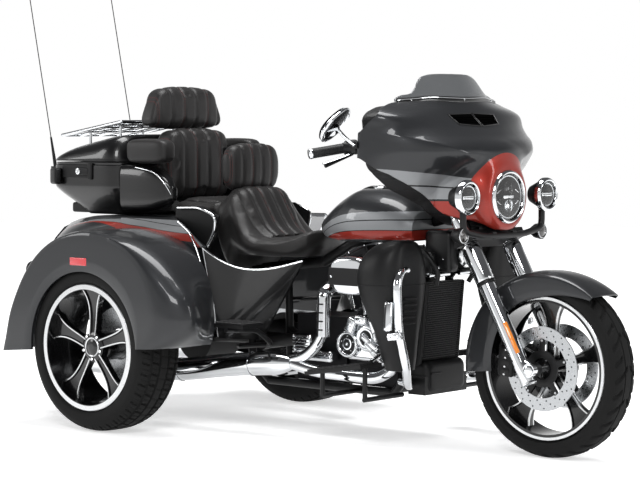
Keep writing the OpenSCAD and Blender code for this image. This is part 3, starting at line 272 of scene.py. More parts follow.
def finish(name, hexa, **shader):
    """A material with one Principled shader; names in shader are its sockets, with _ for a space."""
    mat = bpy.data.materials.new(name)
    mat.use_nodes = True
    mat.node_tree.nodes.clear()
    names = {k.replace("_", " "): v for k, v in shader.items()}
    p = add(mat, "BsdfPrincipled", {"Base Color": colour(hexa), **names})
    add(mat, "OutputMaterial", {"Surface": p.outputs[0]})
    return mat, p


def link(mat, source, shader, socket):
    """Feeds a socket of the shader."""
    mat.node_tree.links.new(source, shader.inputs[socket])


def grain(mat, shader, scale, strength, distance=0.0004, kind="TexNoise", detail=4.0, socket="Fac"):
    """Relief from a pattern on Object coordinates; scale counts its features along one metre."""
    co = add(mat, "TexCoord").outputs["Object"]
    sockets = {"Vector": co, "Scale": scale}
    if kind == "TexNoise":
        sockets["Detail"] = detail
    t = add(mat, kind, sockets)
    b = add(mat, "Bump", {"Height": t.outputs[socket], "Strength": strength, "Distance": distance})
    link(mat, b.outputs[0], shader, "Normal")
    return co, t


def spread(mat, source, shader, socket, low, high):
    """Turns a 0 to 1 pattern into a value between low and high, such as roughness."""
    m = add(mat, "MapRange", {"Value": source, "To Min": low, "To Max": high})
    link(mat, m.outputs[0], shader, socket)


def tint(mat, source, shader, dark, light):
    """Colour that wanders between two near shades with a pattern."""
    r = add(mat, "ValToRGB", {"Fac": source})
    r.color_ramp.elements[0].position, r.color_ramp.elements[1].position = 0.3, 0.7
    r.color_ramp.elements[0].color, r.color_ramp.elements[1].color = colour(dark), colour(light)
    link(mat, r.outputs[0], shader, "Base Color")


# %% [markdown]
# Automotive lacquer is colour with fine metal flake under a clear coat. Flake of 0.1 mm can't show at
# this distance, so it is drawn at about 1 mm and kept faint. Stripes are painted by a value carried
# on the surface, which a ramp with hard steps turns into bands of colour.

# %% Lacquers
CHARCOAL, GREY, RED, LINE = "#2a2b2d", "#808284", "#8e2a20", "#0f0f10"


def lacquer(name, hexa, bands=None, patch=None):
    """Clear-coated metallic paint; bands is a list of (start, colour) on the surface's band value, and
    patch is a colour that covers them where the surface's patch value is over a half."""
    mat, p = finish(name, hexa, Metallic=0.4, Roughness=0.4, Specular_IOR_Level=0.15, Coat_Weight=0.5,
                    Coat_Roughness=0.04, Coat_IOR=1.45)
    co = add(mat, "TexCoord").outputs["Object"]
    flake = add(mat, "TexVoronoi", {"Vector": co, "Scale": 900.0})
    spread(mat, flake.outputs["Distance"], p, "Roughness", 0.32, 0.46)
    haze = add(mat, "TexNoise", {"Vector": co, "Scale": 3.0, "Detail": 2.0})
    bump = add(mat, "Bump", {"Height": haze.outputs["Fac"], "Strength": 0.03, "Distance": 0.002})
    link(mat, bump.outputs[0], p, "Coat Normal")
    if bands:
        a = add(mat, "Attribute", attribute_name="band")
        r = add(mat, "ValToRGB", {"Fac": a.outputs["Fac"]})
        ramp = r.color_ramp
        ramp.interpolation = "CONSTANT"
        ramp.elements.remove(ramp.elements[1])
        ramp.elements[0].color = colour(hexa)
        for start, c in bands:
            ramp.elements.new(start).color = colour(c)
        out = r.outputs[0]
        if patch:
            a = add(mat, "Attribute", attribute_name="patch")
            on = add(mat, "Math", {0: a.outputs["Fac"], 1: 0.5}, operation="GREATER_THAN")
            m = add(mat, "Mix", {"Factor": on.outputs[0]}, data_type="RGBA")
            mat.node_tree.links.new(out, m.inputs[6])
            m.inputs[7].default_value = colour(patch)
            out = m.outputs[2]
        link(mat, out, p, "Base Color")
    return mat


paint = lacquer("charcoal_metallic_lacquer", CHARCOAL)
black_gloss, p = finish("gloss_black_lacquer", "#0a0a0b", Roughness=0.3, Specular_IOR_Level=0.25, Coat_Weight=0.4,
                        Coat_Roughness=0.03)
grain(black_gloss, p, 4.0, 0.03, 0.002)

# %% [markdown]
# Chrome mirrors its surroundings, so it needs only a faint ripple from polishing. Castings under
# powder coat are matt with a wrinkle of about 1 mm. Machined faces show the cutter's circles.

# %% Metals
chrome, p = finish("polished_chrome_plate", "#cfd1d3", Metallic=1.0, Roughness=0.05)
co, t = grain(chrome, p, 6.0, 0.04, 0.002)
spread(chrome, t.outputs["Fac"], p, "Roughness", 0.03, 0.09)
satin, p = finish("satin_black_powder_coat", "#0c0c0d", Roughness=0.42, Specular_IOR_Level=0.25)
grain(satin, p, 700.0, 0.12, 0.0002)
wrinkle, p = finish("wrinkle_black_powder_coat", "#0e0e0f", Roughness=0.55, Specular_IOR_Level=0.25)
grain(wrinkle, p, 900.0, 0.45, 0.0004)
machined, p = finish("machined_aluminium", "#bfc0c1", Metallic=1.0, Roughness=0.24)
co, t = grain(machined, p, 60.0, 0.05, 0.0004)
spread(machined, t.outputs["Fac"], p, "Roughness", 0.18, 0.32)
steel, p = finish("brushed_stainless_disc", "#a3a5a7", Metallic=1.0, Roughness=0.28, Anisotropic=0.4)
co, t = grain(steel, p, 240.0, 0.1, 0.0003)
spread(steel, t.outputs["Fac"], p, "Roughness", 0.2, 0.36)
enamel, p = finish("black_wheel_enamel", "#0b0b0c", Roughness=0.2, Specular_IOR_Level=0.25, Coat_Weight=0.4,
                   Coat_Roughness=0.05)
grain(enamel, p, 500.0, 0.04, 0.0003)
dark_metal, p = finish("dark_cast_metal", "#161618", Metallic=0.6, Specular_IOR_Level=0.25, Roughness=0.45)
grain(dark_metal, p, 350.0, 0.2, 0.0004)
red_enamel, p = finish("dark_red_enamel", "#5e1713", Roughness=0.3, Coat_Weight=0.6)
grain(red_enamel, p, 500.0, 0.04, 0.0003)

# %% [markdown]
# Rubber and moulded plastic are told apart by their grain: tyre rubber is dull and dusty, and moulded
# plastic has an even spark-eroded grain. That grain is under half a millimetre on the real trike and is
# drawn at about one, which is the finest that shows.

# %% Rubber and plastics
rubber, p = finish("tyre_rubber", "#141415", Roughness=0.78, Specular_IOR_Level=0.2)
co, t = grain(rubber, p, 420.0, 0.25, 0.0004)
tint(rubber, t.outputs["Fac"], p, "#0c0c0c", "#131313")
plastic, p = finish("moulded_black_plastic", "#0c0c0d", Roughness=0.5, Specular_IOR_Level=0.2)
grain(plastic, p, 1100.0, 0.2, 0.0003)
grip_rubber, p = finish("ribbed_grip_rubber", "#131314", Roughness=0.7)
grain(grip_rubber, p, 500.0, 0.2, 0.0003)

# %% [markdown]
# Lenses are clear or dyed polycarbonate. A reflector's red or amber comes from the dye and its sparkle
# from small moulded prisms of 2 to 3 mm, which a bump of small cells stands for. A faint emission in the
# lens's own colour is painted light: it makes the red and amber lenses shine though none of them is lit.

# %% Lenses and screens
clear, p = finish("clear_polycarbonate", "#f4f6f7", Roughness=0.02, IOR=1.58, Transmission_Weight=1.0)
grain(clear, p, 30.0, 0.02, 0.001)
smoke, p = finish("smoked_polycarbonate", "#6c6e70", Roughness=0.04, IOR=1.3, Transmission_Weight=0.9)
grain(smoke, p, 12.0, 0.02, 0.001)
silver, p = finish("aluminised_reflector", "#f0f1f2", Metallic=1.0, Roughness=0.12)
grain(silver, p, 160.0, 0.25, 0.001)


def prism_lens(name, hexa, glow):
    """Dyed plastic over moulded prisms; its emission is a painted glow, light the unlit lens sends back."""
    mat, p = finish(name, hexa, Roughness=0.18, Coat_Weight=0.8, Coat_Roughness=0.03,
                    Emission_Color=colour(hexa), Emission_Strength=glow)
    grain(mat, p, 330.0, 0.5, 0.001, "TexVoronoi", socket="Distance")
    return mat


# painted glow: emission strengths 0.15 and 0.2 make these unlit lenses shine
amber = prism_lens("amber_reflector_plastic_with_painted_glow", "#d97b1c", 0.15)
red_lens = prism_lens("red_reflector_plastic_with_painted_glow", "#c5202a", 0.2)
smoke_lens, p = finish("smoked_turn_lens", "#2a2624", Roughness=0.08, Coat_Weight=0.8)
grain(smoke_lens, p, 330.0, 0.4, 0.001, "TexVoronoi", socket="Distance")
dial_glass, p = finish("dark_dial_glass", "#0b0c0e", Roughness=0.05, Coat_Weight=1.0, Coat_Roughness=0.02)
grain(dial_glass, p, 20.0, 0.02, 0.001)

# %% [markdown]
# ## Tyres
# The front tyre has a round crown with slanted grooves that meet at the middle and shed water; the rear
# ones are car-like, with straight grooves between blocks. A groove is where the skin drops by its depth,
# so the pattern is a rule on the two parameters of the skin and needs no separate parts.

# %% Tyres
FRONT_SEAT, REAR_SEAT = 241.3, 228.6      # bead radii of 19 inch and 18 inch wheels
FRONT_LIP, REAR_LIP = 55.9, 101.9         # half widths over the rim flanges
FRONT_DISC, REAR_DISC = 150, 146


def tyre(centre, r, w, seat, side, bead, groove, steps, columns):
    """Skin of a tyre round Y. In the tread the radius is r - side + side (1-(2y/w)^3.33)^0.375, less
    the groove; from there a superellipse runs down the side wall to the bead."""
    edge = 0.86 * w / 2
    y = np.linspace(-edge, edge, columns)
    top = r - side + side * (1 - np.abs(2 * y / w) ** (10 / 3)) ** 0.375
    a = np.linspace(np.arccos(0.86 ** (1 / 0.6)), 0, 9)[1:]
    wall = np.stack([r - side + side * spow(np.sin(a), 0.75), w / 2 * spow(np.cos(a), 0.6)], -1)
    wall[3:6, 1] += [0.8, 1.2, 0.8]
    foot = np.array([[seat + 24, w / 2 - 3], [seat + 17, bead + 2], [seat + 2, bead]])
    right = np.concatenate([wall, foot])
    sec = np.concatenate([right[::-1] * [1, -1], np.stack([top, y], -1), right,
                          [[seat + 2, bead - 12], [r - 16, w * 0.3], [r - 16, -w * 0.3], [seat + 2, 12 - bead]]])
    t = np.linspace(0, 2 * np.pi, steps, endpoint=False)
    R = np.repeat(sec[None, :, 0], steps, 0)
    k = slice(len(right), len(right) + columns)
    R[:, k] -= groove(t[:, None], y[None] / (w / 2))
    Y = np.repeat(sec[None, :, 1], steps, 0)
    P = np.stack([R * np.cos(t)[:, None], Y, R * np.sin(t)[:, None]], -1)
    return skin(place(np.asarray(centre, float) + P), True, True)


def soft_step(x, width):
    """0 below nothing, 1 above width, and a ramp between."""
    return np.clip(x / width, 0, 1)


def front_groove(t, y):
    """Slanted grooves, 34 to a turn and every other one short, and two fine lines round the crown."""
    a = np.abs(y)
    n = t * 34 / (2 * np.pi) + 1.15 * a
    f = n % 1
    long = (np.floor(n) % 2 == 0)
    inside = np.where(long, (a > 0.1) & (a < 0.84), (a > 0.42) & (a < 0.84))
    slot = soft_step(0.16 - np.abs(f - 0.5), 0.02) * inside
    line = (np.abs(a - 0.3) < 0.035) * 0.8
    return 7.5 * np.maximum(slot, line)


def rear_groove(t, y):
    """Four straight grooves, and cross slots that are staggered from rib to rib."""
    a = np.abs(y)
    straight = np.maximum(np.abs(a - 0.2) < 0.04, np.abs(a - 0.58) < 0.045)
    rib = np.where(a < 0.2, 0.0, np.where(a < 0.58, 0.33, 0.66))
    f = (t * 46 / (2 * np.pi) + rib + 0.8 * y) % 1
    cross = (f < 0.17) & (a > 0.24)
    sipe = (np.abs(f - 0.6) < 0.05) * 0.4
    return 6.5 * np.maximum(np.maximum(straight, cross), sipe)


WHEELBASE, TRACK_HALF = 1690, 576
F0, R0 = [WHEELBASE, 0, FRONT[2] / MM], [0, 0, REAR[2] / MM]
piece("front_tyre_rubber", [tyre(F0, 319.3, 130, FRONT_SEAT, 56, 46.6, front_groove, 520, 54)], rubber,
      "front_wheel", "front_tyre")
for name, s in (("right", -1), ("left", 1)):
    piece(f"{name}_rear_tyre_rubber",
          [tyre([0, s * TRACK_HALF, R0[2]], 325.4, 215, REAR_SEAT, 66, 92.6, rear_groove, 560, 66)],
          rubber, f"{name}_rear_wheel", f"{name}_rear_tyre")

# %% [markdown]
# ## Wheels
# Each cast wheel is enamelled black and then faced on a lathe, which bares bright metal along the edges
# of its five spokes and on the lip. The spoke flares where it meets the rim. Bright strips stand 0.6 mm
# proud of the enamel, so they catch the light as a separate line.

# %% Spoked wheels
def spoke_set(centre, side, r0, r1, face, depth, first=90, n=5):
    """Spokes run from r0 to r1. Half width is 17 at the hub and flares to 58 at the rim; the section is
    a channel with raised edges, and a bright strip rides on each edge."""
    u = np.linspace(0, 1, 22)
    r = r0 + (r1 - r0) * u
    half = 17 + 6 * u + 36 * u**5
    out = []
    sec = [(-1, 0, 0), (-1, 0, depth), (-1, 5, depth), (-1, 8, depth - 6), (1, -8, depth - 6), (1, -5, depth),
           (1, 0, depth), AHEAD]
    dish = 7 * np.sin(np.pi * u)
    for k in range(n):
        a = np.radians(first + 360 / n * k)
        e, f = np.array([np.cos(a), 0, np.sin(a)]), np.array([-np.sin(a), 0, np.cos(a)])
        rows = [r[:, None] * e + (s * half + d)[:, None] * f
                + side * (face - depth + h - dish * (h > 0))[:, None] * np.array([0, 1, 0])
                for s, d, h in sec]
        out.append(of(skin(place(np.asarray(centre) + np.stack(rows, 1)), False, True, True), 0))
        for s in (-1, 1):
            strip = [(0.4, -5), (0.4, 0.7), (-4.6, 0.7), (-4.6, -5)]
            rows = [r[:, None] * e + (s * (half + d))[:, None] * f
                    + side * (face + h - dish)[:, None] * np.array([0, 1, 0]) for d, h in strip]
            out.append(of(skin(place(np.asarray(centre) + np.stack(rows, 1)), False, True, True), 1))
    return out


def rim(centre, seat, lip, wall, bare, sides=144):
    """Barrel with two flanges; the face of each is bright metal from the radius seat + bare outwards."""
    c = np.asarray(centre, float)
    h = lip - 9
    half = [(lip, seat - wall), (lip, seat + 11), (lip - 2, seat + 14.4), (lip - 6, seat + 15), (h, seat + 13),
            (h, seat + 2), (h * 0.9, seat), (h * 0.6, seat - 2)]
    prof = [(-x, r) for x, r in half] + half[::-1] + [(-lip, seat - wall)]
    out = [of(turned(prof, c, ACROSS, sides), 0)]
    for s in (-1, 1):
        ring = [(s * (lip - 1.5), seat + bare), (s * (lip + 0.5), seat + bare + 0.5), (s * (lip + 0.6), seat + 12),
                (s * (lip - 2), seat + 15.2), (s * (lip - 1.5), seat + bare)]
        out.append(of(turned(ring, c, ACROSS, sides), 1))
    return out


def around(centre, r, y, n, first=0.0):
    """Places on a circle round Y."""
    a = np.radians(first) + np.linspace(0, 2 * np.pi, n, endpoint=False)
    return np.asarray(centre, float) + np.stack([r * np.cos(a), np.full(n, float(y)), r * np.sin(a)], -1)


hub = [(-60, 12), (-60, 36), (-56, 41), (-24, 34), (24, 34), (56, 41), (60, 36), (60, 12)]
front_parts = rim(F0, FRONT_SEAT, FRONT_LIP, 7, 2)
for s in (-1, 1):
    front_parts += spoke_set(F0, s, 34, FRONT_SEAT - 5, 17, 17)
front_parts += [of(turned(hub, F0, ACROSS, 64), 0), of(turned([(-62, 0.5), (-61.5, 9), (-60, 12)], F0, ACROSS), 1)]
piece("front_cast_wheel", front_parts, [enamel, machined], "front_wheel", "front_rim")
for name, s in (("right", -1), ("left", 1)):
    c = [0, s * TRACK_HALF, R0[2]]
    cap = [(s * 40, 60), (s * 66, 56), (s * 70, 48), (s * 72, 38), (s * 71, 36), (s * 71, 30), (s * 74, 26),
           (s * 75, 12), (s * 75, 0.5)]
    drum = [(-s * 118, 20), (-s * 118, 50), (-s * 110, 56), (s * 42, 56)]
    parts = rim(c, REAR_SEAT, REAR_LIP, 8, -6) + spoke_set(c, s, 44, REAR_SEAT - 6, 70, 34)
    parts += [of(turned(cap, c, ACROSS, 64), 0), of(turned(drum, c, ACROSS), 0),
              of(turned([(s * 71.5, 38.5), (s * 73, 37), (s * 73, 34), (s * 71.5, 32)], c, ACROSS, 64), 1),
              of(studs(around(c, 47, s * 69, 5, 54), (0, s, 0), 7, 7), 1)]
    disc = [(-2.5, 60), (-2.5, REAR_DISC), (2.5, REAR_DISC), (2.5, 60)]
    parts += [of(turned(disc, [0, s * 500, R0[2]], ACROSS, 96), 2),
              of(turned([(-90, 17.5), (90, 17.5)], [0, s * 440, R0[2]], ACROSS), 2)]
    piece(f"{name}_rear_cast_wheel", parts, [enamel, machined, steel], f"{name}_rear_wheel",
          f"{name}_rear_rim")

# %% [markdown]
# ## Brake discs and calipers
# Two discs of stainless steel, drilled so that water and dust clear. Each hole is a dark spot let into
# both faces; a black carrier with five arms joins the disc to the hub.

# %% Brake discs
def spots(points, r, sides=10):
    """Small flat discs that face along Y."""
    a = np.linspace(0, 2 * np.pi, sides, endpoint=False)
    ring = np.stack([r * np.cos(a), 0 * a, r * np.sin(a)], -1)
    V = place((np.asarray(points)[:, None] + ring).reshape(-1, 3))
    F = (np.arange(len(points))[:, None] * sides + np.arange(sides)).tolist()
    return V, F


parts = []
for s in (-1, 1):
    c = [WHEELBASE, s * 63, F0[2]]
    plate = [(-2.5, 104), (-2.5, FRONT_DISC), (2.5, FRONT_DISC), (2.5, 104), (-2.5, 104)]
    parts.append(of(turned(plate, c, ACROSS, 120), 0))
    holes = np.concatenate([around(c, r, 0, 18, f) for r, f in ((114, 0), (127, 7), (140, 14))])
    for d in (-2.6, 2.6):
        parts.append(of(spots(holes + [0, d, 0], 3.0), 1))
    parts.append(of(turned([(-3, 38), (-3, 66), (3, 66), (3, 38)], c, ACROSS), 2))
    for k in range(5):
        a = np.radians(90 + 72 * k)
        at = np.array(c) + [86 * np.cos(a), 0, 86 * np.sin(a)]
        parts.append(of(block(at, (22, 46, 5), 2, ACROSS, -72 * k), 2))
    parts.append(of(studs(around(c, 100, s * 3, 5, 90), (0, s, 0), 5, 3), 0))
piece("drilled_front_discs", parts, [steel, dark_metal, satin], "front_wheel", "front_discs",
      sharp=30)

# %% [markdown]
# Each front caliper is two rounded castings on both sides of a disc, joined by a bridge over its edge.
# They have wrinkle-coated faces, six round pistons' caps and four bolts.

# %% Front calipers
w = np.array([-np.cos(np.radians(6)), 0, np.sin(np.radians(6))])
w_side = np.array([w[2], 0, -w[0]])
parts = []
for s in (-1, 1):
    c = np.array([WHEELBASE, s * 62.5, F0[2]]) + w * 146
    parts += [of(block(c + [0, s * 14, 0], (19, 104, 64), 8, w), 0),
              of(block(c - [0, s * 13, 0], (17, 96, 60), 7, w), 0),
              of(block(c + w * 28, (42, 84, 10), 3, w), 0)]
    at = np.array([c + w * a + w_side * b + [0, s * 21, 0] for a in (-8, 8) for b in (-32, 0, 32)])
    parts.append(of(studs(at + [0, s * 2, 0], (0, s, 0), 11, 3, 20), 1))
    at = np.array([c + w_side * b + [0, s * 22, 0] for b in (-44, -16, 16, 44)])
    parts.append(of(studs(at, (0, s, 0), 4.5, 5), 2))
piece("front_caliper_castings", parts, [wrinkle, satin, machined], "fork", "front_calipers")

# %% [markdown]
# ## Painted bodywork
# Moulded panels are skins 4 to 8 mm thick: an outer grid, the same grid drawn in, and a strip that joins
# their edges. A stripe is a rule on where a point is, so it follows a panel round its curves.

# %% Panels
def shell(outer, inner, keep=None):
    """Closed skin between two equal grids. keep marks the squares to leave in; the walls of the opening
    join the two grids along every edge between a square that stays and one that goes."""
    nu, nv = outer.shape[:2]
    if keep is None:
        keep = np.ones((nu - 1, nv - 1), bool)
    n = nu * nv
    idx = np.arange(n).reshape(nu, nv)
    a, b, c, d = idx[:-1, :-1], idx[1:, :-1], idx[1:, 1:], idx[:-1, 1:]
    F = np.stack([a, b, c, d], -1)[keep]
    faces = [F, F[:, ::-1] + n]
    pad = np.zeros((nu + 1, nv + 1), bool)
    pad[1:-1, 1:-1] = keep
    across = pad[1:, 1:-1] != pad[:-1, 1:-1]
    p, q = idx[:, :-1][across], idx[:, 1:][across]
    faces.append(np.stack([p, q, q + n, p + n], -1))
    along = pad[1:-1, 1:] != pad[1:-1, :-1]
    p, q = idx[:-1][along], idx[1:][along]
    faces.append(np.stack([p, q, q + n, p + n], -1))
    return np.concatenate([outer.reshape(-1, 3), inner.reshape(-1, 3)]), np.concatenate(faces).tolist()


def graded(z, lines, above=60, below=60):
    """Value that grows by 0.2 from each line to the next one below it, so every stripe edge is one
    level of the value: 0.2 at the first line, 0.4 at the second, and so on."""
    edges = [lines[0] + above] + list(lines) + [lines[-1] - below]
    return sum(0.2 * np.clip((hi - z) / (hi - lo), 0, 1) for hi, lo in zip(edges[:-1], edges[1:]))


BANDS = [(0.2, GREY), (0.388, LINE), (0.412, GREY), (0.592, LINE), (0.608, RED), (0.8, CHARCOAL)]


def mm_of(V):
    """Metres in the frame, back to millimetres forward of the rear axle."""
    return V / MM - [REAR[0] / MM, 0, 0]


# %% [markdown]
# The rear fender is one moulding: a flat face round the arch, a rolled shoulder, and a top that runs in
# to the body. Its three edges are radii from the axle which change with the angle, so the skin is
# (radius, width) as a function of the angle and of the place across it.

# %% Rear fenders
WALL_Y = 700      # outer face of the rear fenders
FACE = [[3, 306], [10, 352], [20, 398], [29, 420], [42, 444], [54, 452], [67, 450], [90, 438], [120, 427],
        [150, 414], [165, 420], [178, 431], [185, 448]]
EDGE = [[3, 424], [8, 490], [12, 519], [21, 531], [32, 514], [45, 500], [58, 483], [73, 458], [90, 450],
        [120, 443], [150, 441], [165, 451], [178, 465], [185, 483]]
JOIN = [[3, 424], [13, 458], [22, 473], [35, 495], [49, 500], [60, 480], [73, 458], [90, 449], [120, 443],
        [150, 441], [165, 451], [178, 465], [185, 483]]
IN = [[3, 96], [73, 96], [90, 75], [120, 44], [185, 44]]


def fender(t):
    """Grid over the angle (rows) and across (columns): arch lip, face, quarter turn, top."""
    a = np.linspace(3, 185, 130)
    f, e, j, w = (curve(T, a) for T in (FACE, EDGE, JOIN, IN))
    cols = [(292 + 0 * a, WALL_Y - 6 - t + 0 * a), (292 + 0 * a, WALL_Y - 2 - t + 0 * a)]
    cols += [(296 + (f - 296) * k, WALL_Y - t + 0 * a) for k in (0, 0.3, 0.6, 0.9)]
    cols += [(f + (e - f - t) * np.sin(b), WALL_Y - w + (w - t) * np.cos(b))
             for b in np.linspace(0, np.pi / 2, 15)[1:]]
    cols += [(e + (j - e) * (3 * k**2 - 2 * k**3) - t, WALL_Y - w + (429.5 - WALL_Y + w) * k)
             for k in np.linspace(0, 1, 12)[1:]]
    r = np.stack([c[0] for c in cols], 1)
    y = np.stack([c[1] for c in cols], 1)
    return place(np.stack([r * np.cos(np.radians(a))[:, None], -y, R0[2] + r * np.sin(np.radians(a))[:, None]], -1))


right = shell(fender(0), fender(5))
piece("moulded_rear_fenders", both([right]), paint, "chassis", "rear_fenders", sharp=50)
mark = block((-18, -699, 655), (92, 30, 5), 2.4, RIGHT)
piece("fender_side_reflectors", both([mark]), red_lens, "chassis")

# %% [markdown]
# The trunk is a tub whose half section changes from the tail forward. Stripes run along its shoulder and
# on down the side panel: grey, a dark pinstripe, grey again, and a brick-red band below.

# %% Trunk body
TUB = {-588: [[0, 776], [179, 776], [236, 757], [284, 716], [330, 664], [372, 606], [405, 540]],
       -520: [[0, 788], [205, 788], [275, 770], [330, 736], [375, 694], [405, 645], [420, 560]],
       -430: [[0, 800], [240, 800], [320, 784], [375, 756], [410, 718], [428, 668], [430, 560]],
       -267: [[0, 812], [300, 812], [360, 804], [405, 786], [426, 762], [429.7, 720], [430, 560]],
       -60: [[0, 812], [300, 812], [370, 811], [410, 807], [427, 798], [429.7, 770], [430, 560]]}


def tub(wall):
    """Half section as a smooth curve of its place along the trunk and round the section."""
    xs = np.array(list(TUB), float)
    S = np.array(list(TUB.values()), float)
    x = np.linspace(-588, -60, 60)
    q = np.linspace(0, 6, 43)
    y, z = [], []
    for c, values in ((0, y), (1, z)):
        along = np.stack([curve(np.stack([xs, S[:, k, c]], -1), x) for k in range(7)], 1)
        values += [curve(np.stack([np.arange(7), row], -1), q) for row in along]
    y, z = np.maximum(np.array(y) - wall, 0), np.array(z) - wall
    low = np.full((60, 1), 401.0 + 3 * wall)
    y, z = np.concatenate([y, y[:, -1:]], 1), np.concatenate([z, low], 1)
    Y, Z = np.concatenate([-y[:, ::-1], y[:, 1:]], 1), np.concatenate([z[:, ::-1], z[:, 1:]], 1)
    return np.stack([np.repeat(x[:, None], Y.shape[1], 1), Y, Z], -1)


def stripes(V):
    """Stripe value of the trunk. The upper line runs from the shoulder at the tail out to the side at
    the front, and the distance from it is counted outwards and then down; the stripes narrow aft."""
    p = mm_of(V)
    x, y = p[:, 0], np.abs(p[:, 1])
    line_y = curve([[-600, 372], [-527, 378], [-267, 388], [0, 402], [246, 424], [480, 430]], x)
    line_z = curve([[-600, 735], [-527, 757], [-430, 786], [-267, 800], [-60, 803], [480, 806]], x)
    q = (y - line_y + line_z - p[:, 2]) / curve([[-600, 0.15], [-267, 0.35], [-120, 0.8], [0, 1], [480, 1]], x)
    return graded(-q, [0, -20, -46, -74])


striped = lacquer("charcoal_lacquer_with_body_stripes", CHARCOAL, BANDS)

T = tub(0)
inner = tub(8)
COVER_TOP = [[75, -269, 810], [160, -346, 810], [246, -427, 810]]
COVER_LOW = [[250, -269, 700], [300, -346, 708], [343, -427, 716]]
PANEL_FRONT = [[404, 448], [432, 445], [501, 439], [560, 413], [640, 377], [717, 343], [766, 313], [811.5, 246]]


def side_sheet(t, rows=50, cols=70):
    """Side panel as a grid: each level runs from the tub to the panel's front edge."""
    z = np.linspace(404, 811.5, rows)
    front = curve(PANEL_FRONT, z)
    u = np.linspace(0, 1, cols)
    x = -66 + (front[:, None] + 66) * u
    return place(np.stack([x, -(429.3 - t) + 0 * x, np.repeat(z[:, None], cols, 1)], -1))


def deck_sheet(t, rows=30):
    """Deck ahead of the trunk: its front edge runs out to the sides, and it rolls over them."""
    s = np.linspace(-1, 1, 81)
    y = s * 427
    front = curve([[0, 60], [269, 75], [346, 160], [427, 246]], np.abs(y))
    u = np.linspace(0, 1, rows)
    x = -62 + (front[None] + 62) * u[:, None]
    z = 812 - t - 0.5 + 0 * x
    return place(np.stack([x, np.repeat(y[None], rows, 0), z], -1))


def slope_sheet(t, rows=16, cols=24):
    """Slope from the deck's edge down to the side cover, blended between its two edges."""
    v, u = np.linspace(0, 1, rows)[:, None, None], np.linspace(0, 2, cols)

    def edge(points):
        """Smooth line through three points, as (x, y, z) along u."""
        return np.stack([curve([[k, p[c]] for k, p in enumerate(points)], u) for c in range(3)], -1)

    up, dn = edge(COVER_TOP) - [3, 0, 0], edge(COVER_LOW)
    P = up * (1 - v) + dn * v
    P = P + np.sin(np.pi * v) * np.array([10, 0, 8]) * (u / 2)[None, :, None]
    return place(P - np.array([4, 0, 4]) * t / 5)


shapes = [shell(place(T), place(inner)), shell(deck_sheet(0), deck_sheet(5))]
shapes += both([shell(side_sheet(0), side_sheet(5)), shell(slope_sheet(0), slope_sheet(5))])
shapes += both([block((-40, -300, 425), (14, 14, 60), 2, ACROSS)])
V = np.concatenate([s[0] for s in shapes])
piece("trunk_body_panels", shapes, striped, "chassis", "rear_body", band=stripes(V), sharp=45)

# %% [markdown]
# The trunk door fills the tail; a moulded pull, a lock and a blank number-plate bracket sit on it.

# %% Trunk door fittings
parts = [block((-616, 0, 690), (300, 46, 6), 2.5), block((-618, 0, 704), (240, 12, 9), 4),
         of(turned([(0, 14), (-6, 14), (-8, 12), (-8, 0.5)], (-615, 0, 640), sides=32), 1)]
piece("trunk_door_pull", parts, [plastic, chrome], "trunk_door")

# %% [markdown]
# ## Front fender
# A sheet arched over the tyre with deep sides; its crown section is a superellipse.

# %% Front fender
def front_guard(inset):
    """Rows by angle round the axle, columns across: radius falls by droop (1 - cos^0.6) to the sides."""
    a = np.linspace(50, 186, 90)[:, None]
    u = np.radians(np.linspace(-90, 90, 41))[None]
    ar = np.radians(a)
    r = 345.3 - inset + 6 * np.cos(ar) * (a < 90)
    c = curve([[49, 12], [66, 30], [90, 46]], a)
    d = curve([[49, 4], [62, 22], [90, 44], [118, 54], [150, 74], [186, 84]], a)
    d = d * np.clip((np.abs(np.degrees(u)) - 75) / 15, 0, 1) ** 0.8
    R = r - c * (1 - spow(np.cos(u), 0.6)) - d
    y = (83 - inset) * np.clip(1.03 * spow(np.sin(u), 0.8), -1, 1) + 0 * a
    return place(np.stack([WHEELBASE + R * np.cos(ar), y, F0[2] + R * np.sin(ar)], -1))


guard = shell(front_guard(0), front_guard(4))
piece("moulded_front_fender", [guard], paint, "fork", "front_fender", sharp=50)

# %% [markdown]
# ## Fairing
# The fairing's skin is a function of the plan angle and of height. Its centre line gives how far forward
# it stands at each height, a power of the cosine rounds the plan, and a nacelle swells round the lamp.

# %% Fairing
NOSE = [[798, 1340], [860, 1345], [918, 1350], [980, 1385], [1030, 1440], [1079, 1474], [1110, 1456], [1140, 1412],
        [1204, 1336], [1262, 1290]]
WING_LOW = [[0, 798], [60, 804], [120, 832], [180, 857], [230, 908], [330, 968], [380, 998], [425, 1042],
            [430, 1060]]
WING_HIGH = [[0, 1258], [300, 1256], [350, 1243], [395, 1225], [416, 1206], [426, 1182], [430, 1145]]
CREASE = [[0, 1020], [110, 1042], [200, 1082], [300, 1118], [430, 1150]]
FAIRING_HALF, LAMP_Z, LAMP_HOLE = 430, 918, 92
POWER = [[1000, 1], [1100, 0.97], [1160, 0.8], [1203, 0.6], [1229, 0.95], [1245, 1.7], [1262, 2.6]]


def fairing_point(a, v, inset):
    """Skin at plan angle a (0 is the nose) and share v of the height, drawn in by inset."""
    s = np.sin(a)
    ref = np.abs(s) * FAIRING_HALF
    z = curve(WING_LOW, ref) * (1 - v) + curve(WING_HIGH, ref) * v
    x0 = curve(NOSE, z)
    wing = 1135 + (x0 - 1135) * np.cos(a) ** curve(POWER, z)
    r = np.hypot(FAIRING_HALF * s, z - LAMP_Z)
    k = (1 + np.cos(np.pi * np.clip((r - 104) / 111, 0, 1))) / 2
    # a soft crease climbs from the nacelle to the wing tip: exp(-d/40) has a sharp top
    d = np.abs(z - curve(CREASE, ref))
    h = 9 * np.exp(-d / 40) * np.clip((ref - 60) / 110, 0, 1) * (1 - k) * np.clip((FAIRING_HALF - ref) / 60, 0, 1)
    x = wing + np.maximum(0, 1492 - wing) * k + h * np.cos(a) - inset
    return np.stack([x, (FAIRING_HALF - inset) * s + h * s, z], -1)


